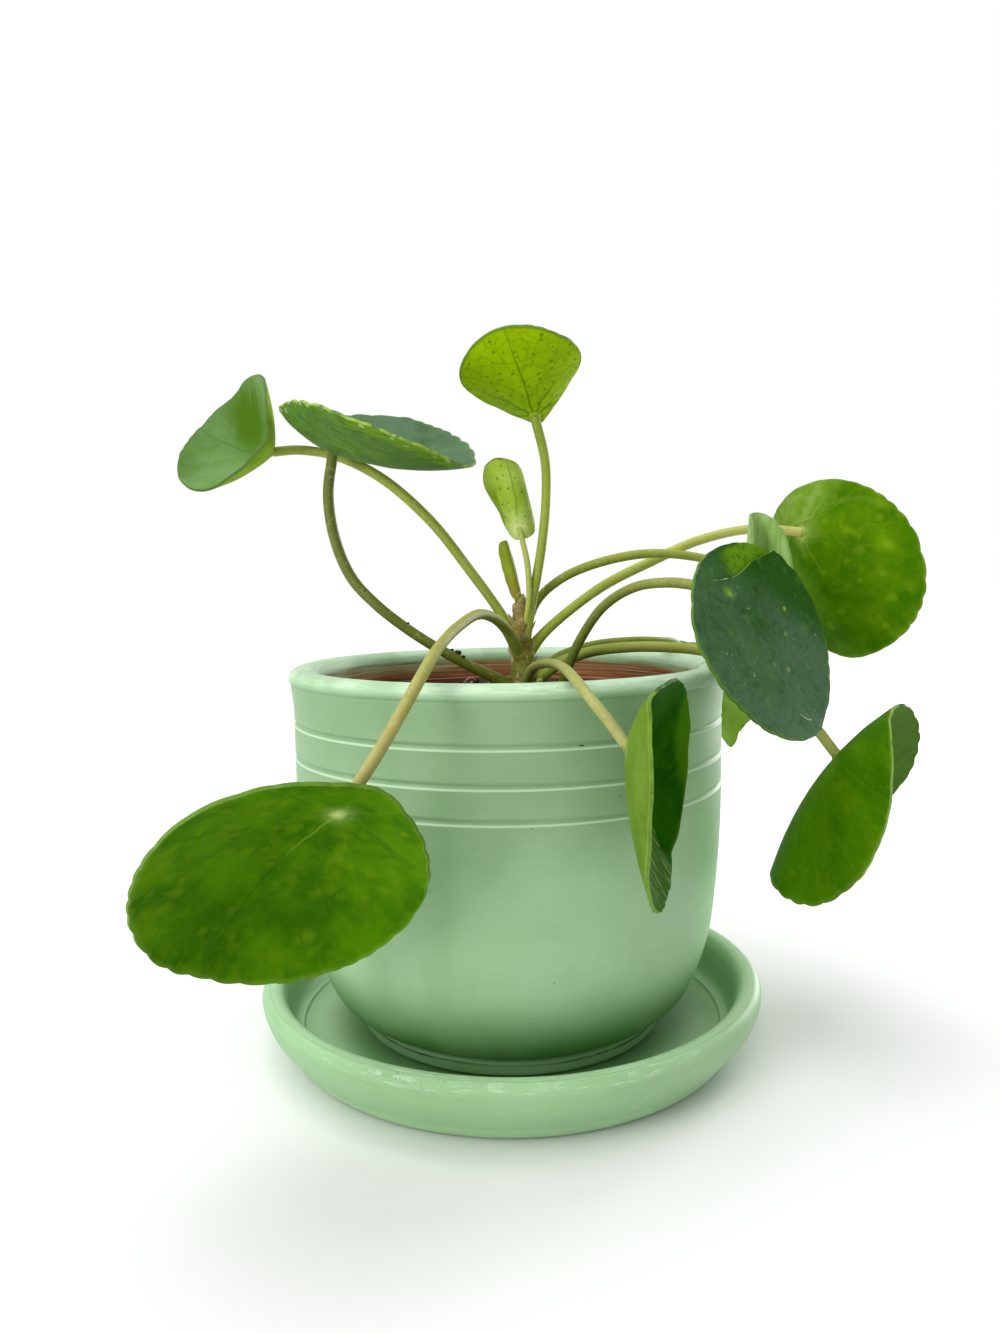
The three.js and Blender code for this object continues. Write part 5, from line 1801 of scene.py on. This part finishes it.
class PLANT_OT_stage(bpy.types.Operator):
    """Sets the floor, the lights and the camera"""

    bl_idname = "plant.stage"
    bl_label = "Stage"

    def execute(self, context):
        settings = context.scene.plant_stage
        self.floor(settings)
        self.lights(settings)
        self.camera(context)
        return {"FINISHED"}

    def floor(self, settings):
        floor = add_circle(96, 9)
        open_up(floor, "FACE")
        bpy.ops.mesh.inset(thickness=6.0)
        close_up()
        wire = new_material("pale_floor")
        grain = wire.noise(wire.place(), 0.02)
        near = wire.mix(grain * 0.06, settings.floor[:], (0.8, 0.8, 0.8, 1))
        out = wire.step(wire.place().length, 250.0, 900.0)
        coat(floor, wire.finish(wire.mix(out, near, (0.93, 0.93, 0.93, 1)), 0.9, shine=0.1))
        put_down()
        floor.name = "floor"

    def lights(self, settings):
        scene = bpy.context.scene
        scene.view_settings.view_transform = "Standard"
        world = scene.world or bpy.data.worlds.new("studio")
        scene.world = world
        world.use_nodes = True
        wire = Wiring(world.node_tree)
        background = world.node_tree.nodes["Background"]
        # The backdrop is seen and mirrored white, and lights the plant less than that
        path = wire.node("ShaderNodeLightPath")
        seen = wire.sum("MAXIMUM", path["Is Camera Ray"], path["Is Glossy Ray"] * 0.7)
        wire.feed(background.inputs["Strength"],
                  wire.sum("MULTIPLY_ADD", seen, 1.0 - settings.sky, settings.sky))
        background.inputs["Color"].default_value = (1, 1, 1, 1)
        bpy.ops.object.light_add(type="SUN", location=(-0.3, -0.25, 1.0))
        sun = bpy.context.object
        sun.name = "light_top"
        sun.data.energy = settings.top
        sun.data.angle = radians(70)
        sun.rotation_euler = Vector((0.3, 0.12, -1.0)).to_track_quat("-Z", "Y").to_euler()
        for name, place, aim, size in (
                ("left", (-0.75, -0.75, 0.30), (0, 0, 0.08), (0.35, 0.8)),
                ("right", (0.60, 0.64, 0.26), (0.03, 0, 0.08), (0.20, 0.8))):
            bpy.ops.object.light_add(type="AREA", location=place)
            light = bpy.context.object
            light.name = f"light_{name}"
            light.data.shape = "RECTANGLE"
            light.data.size, light.data.size_y = size
            light.data.energy = settings.key
            light.rotation_euler = (Vector(aim) - Vector(place)).to_track_quat(
                "-Z", "Y").to_euler()
            light.visible_camera = False

    def camera(self, context):
        pitch, roll, yaw = map(radians, CAMERA_TURN)
        ahead = Vector((math.sin(yaw) * math.cos(pitch), math.cos(yaw) * math.cos(pitch),
                        -math.sin(pitch)))
        level = Vector((math.cos(yaw), -math.sin(yaw), 0))
        upright = level.cross(ahead)
        right = level * math.cos(roll) + upright * math.sin(roll)
        top = upright * math.cos(roll) - level * math.sin(roll)
        bpy.ops.object.camera_add()
        camera = bpy.context.object
        camera.name = "camera"
        turn = Matrix((right, top, -ahead)).transposed().to_4x4()
        camera.matrix_world = Matrix.Translation(CAMERA_PLACE) @ turn
        camera.data.sensor_fit = "AUTO"
        camera.data.sensor_width = 36
        camera.data.lens = CAMERA_LENS
        camera.data.clip_start, camera.data.clip_end = 0.01, 50
        context.scene.camera = camera


class PLANT_PT_panel(bpy.types.Panel):
    """Sidebar panel with the settings and the pieces"""

    bl_idname = "PLANT_PT_panel"
    bl_label = "Potted plant"
    bl_space_type = "VIEW_3D"
    bl_region_type = "UI"
    bl_category = "Plant"

    def draw(self, context):
        scene = context.scene
        for title, group, operators in (
                ("Pot and saucer", scene.plant_pot, ("plant.saucer", "plant.pot")),
                ("Soil", scene.plant_soil, ("plant.soil",)),
                ("Stem and leaves", scene.plant_growth, ("plant.stem", "plant.blades")),
                ("Stage", scene.plant_stage, ("plant.stage",))):
            box = self.layout.box()
            box.label(text=title)
            for name in group.bl_rna.properties.keys():
                if name not in ("rna_type", "name"):
                    box.prop(group, name)
            for operator in operators:
                box.operator(operator)


SETTINGS = {
    "plant_pot": PotSettings,
    "plant_soil": SoilSettings,
    "plant_growth": PlantSettings,
    "plant_stage": StageSettings,
}
OPERATORS = (PLANT_OT_saucer, PLANT_OT_pot, PLANT_OT_soil, PLANT_OT_stem, PLANT_OT_blades,
             PLANT_OT_stage)


def register():
    for name, group in SETTINGS.items():
        bpy.utils.register_class(group)
        setattr(bpy.types.Scene, name, bpy.props.PointerProperty(type=group))
    for operator in OPERATORS:
        bpy.utils.register_class(operator)
    bpy.utils.register_class(PLANT_PT_panel)


def unregister():
    bpy.utils.unregister_class(PLANT_PT_panel)
    for operator in reversed(OPERATORS):
        bpy.utils.unregister_class(operator)
    for name, group in SETTINGS.items():
        delattr(bpy.types.Scene, name)
        bpy.utils.unregister_class(group)


def main():
    register()
    build_pits()
    build_dots()
    build_brushwork()
    build_veins()
    build_blotches()
    put_down()
    bpy.ops.plant.stage()
    bpy.ops.plant.saucer()
    bpy.ops.plant.pot()
    bpy.ops.plant.soil()
    bpy.ops.plant.stem()
    bpy.ops.plant.blades()


if __name__ == "__main__":
    main()
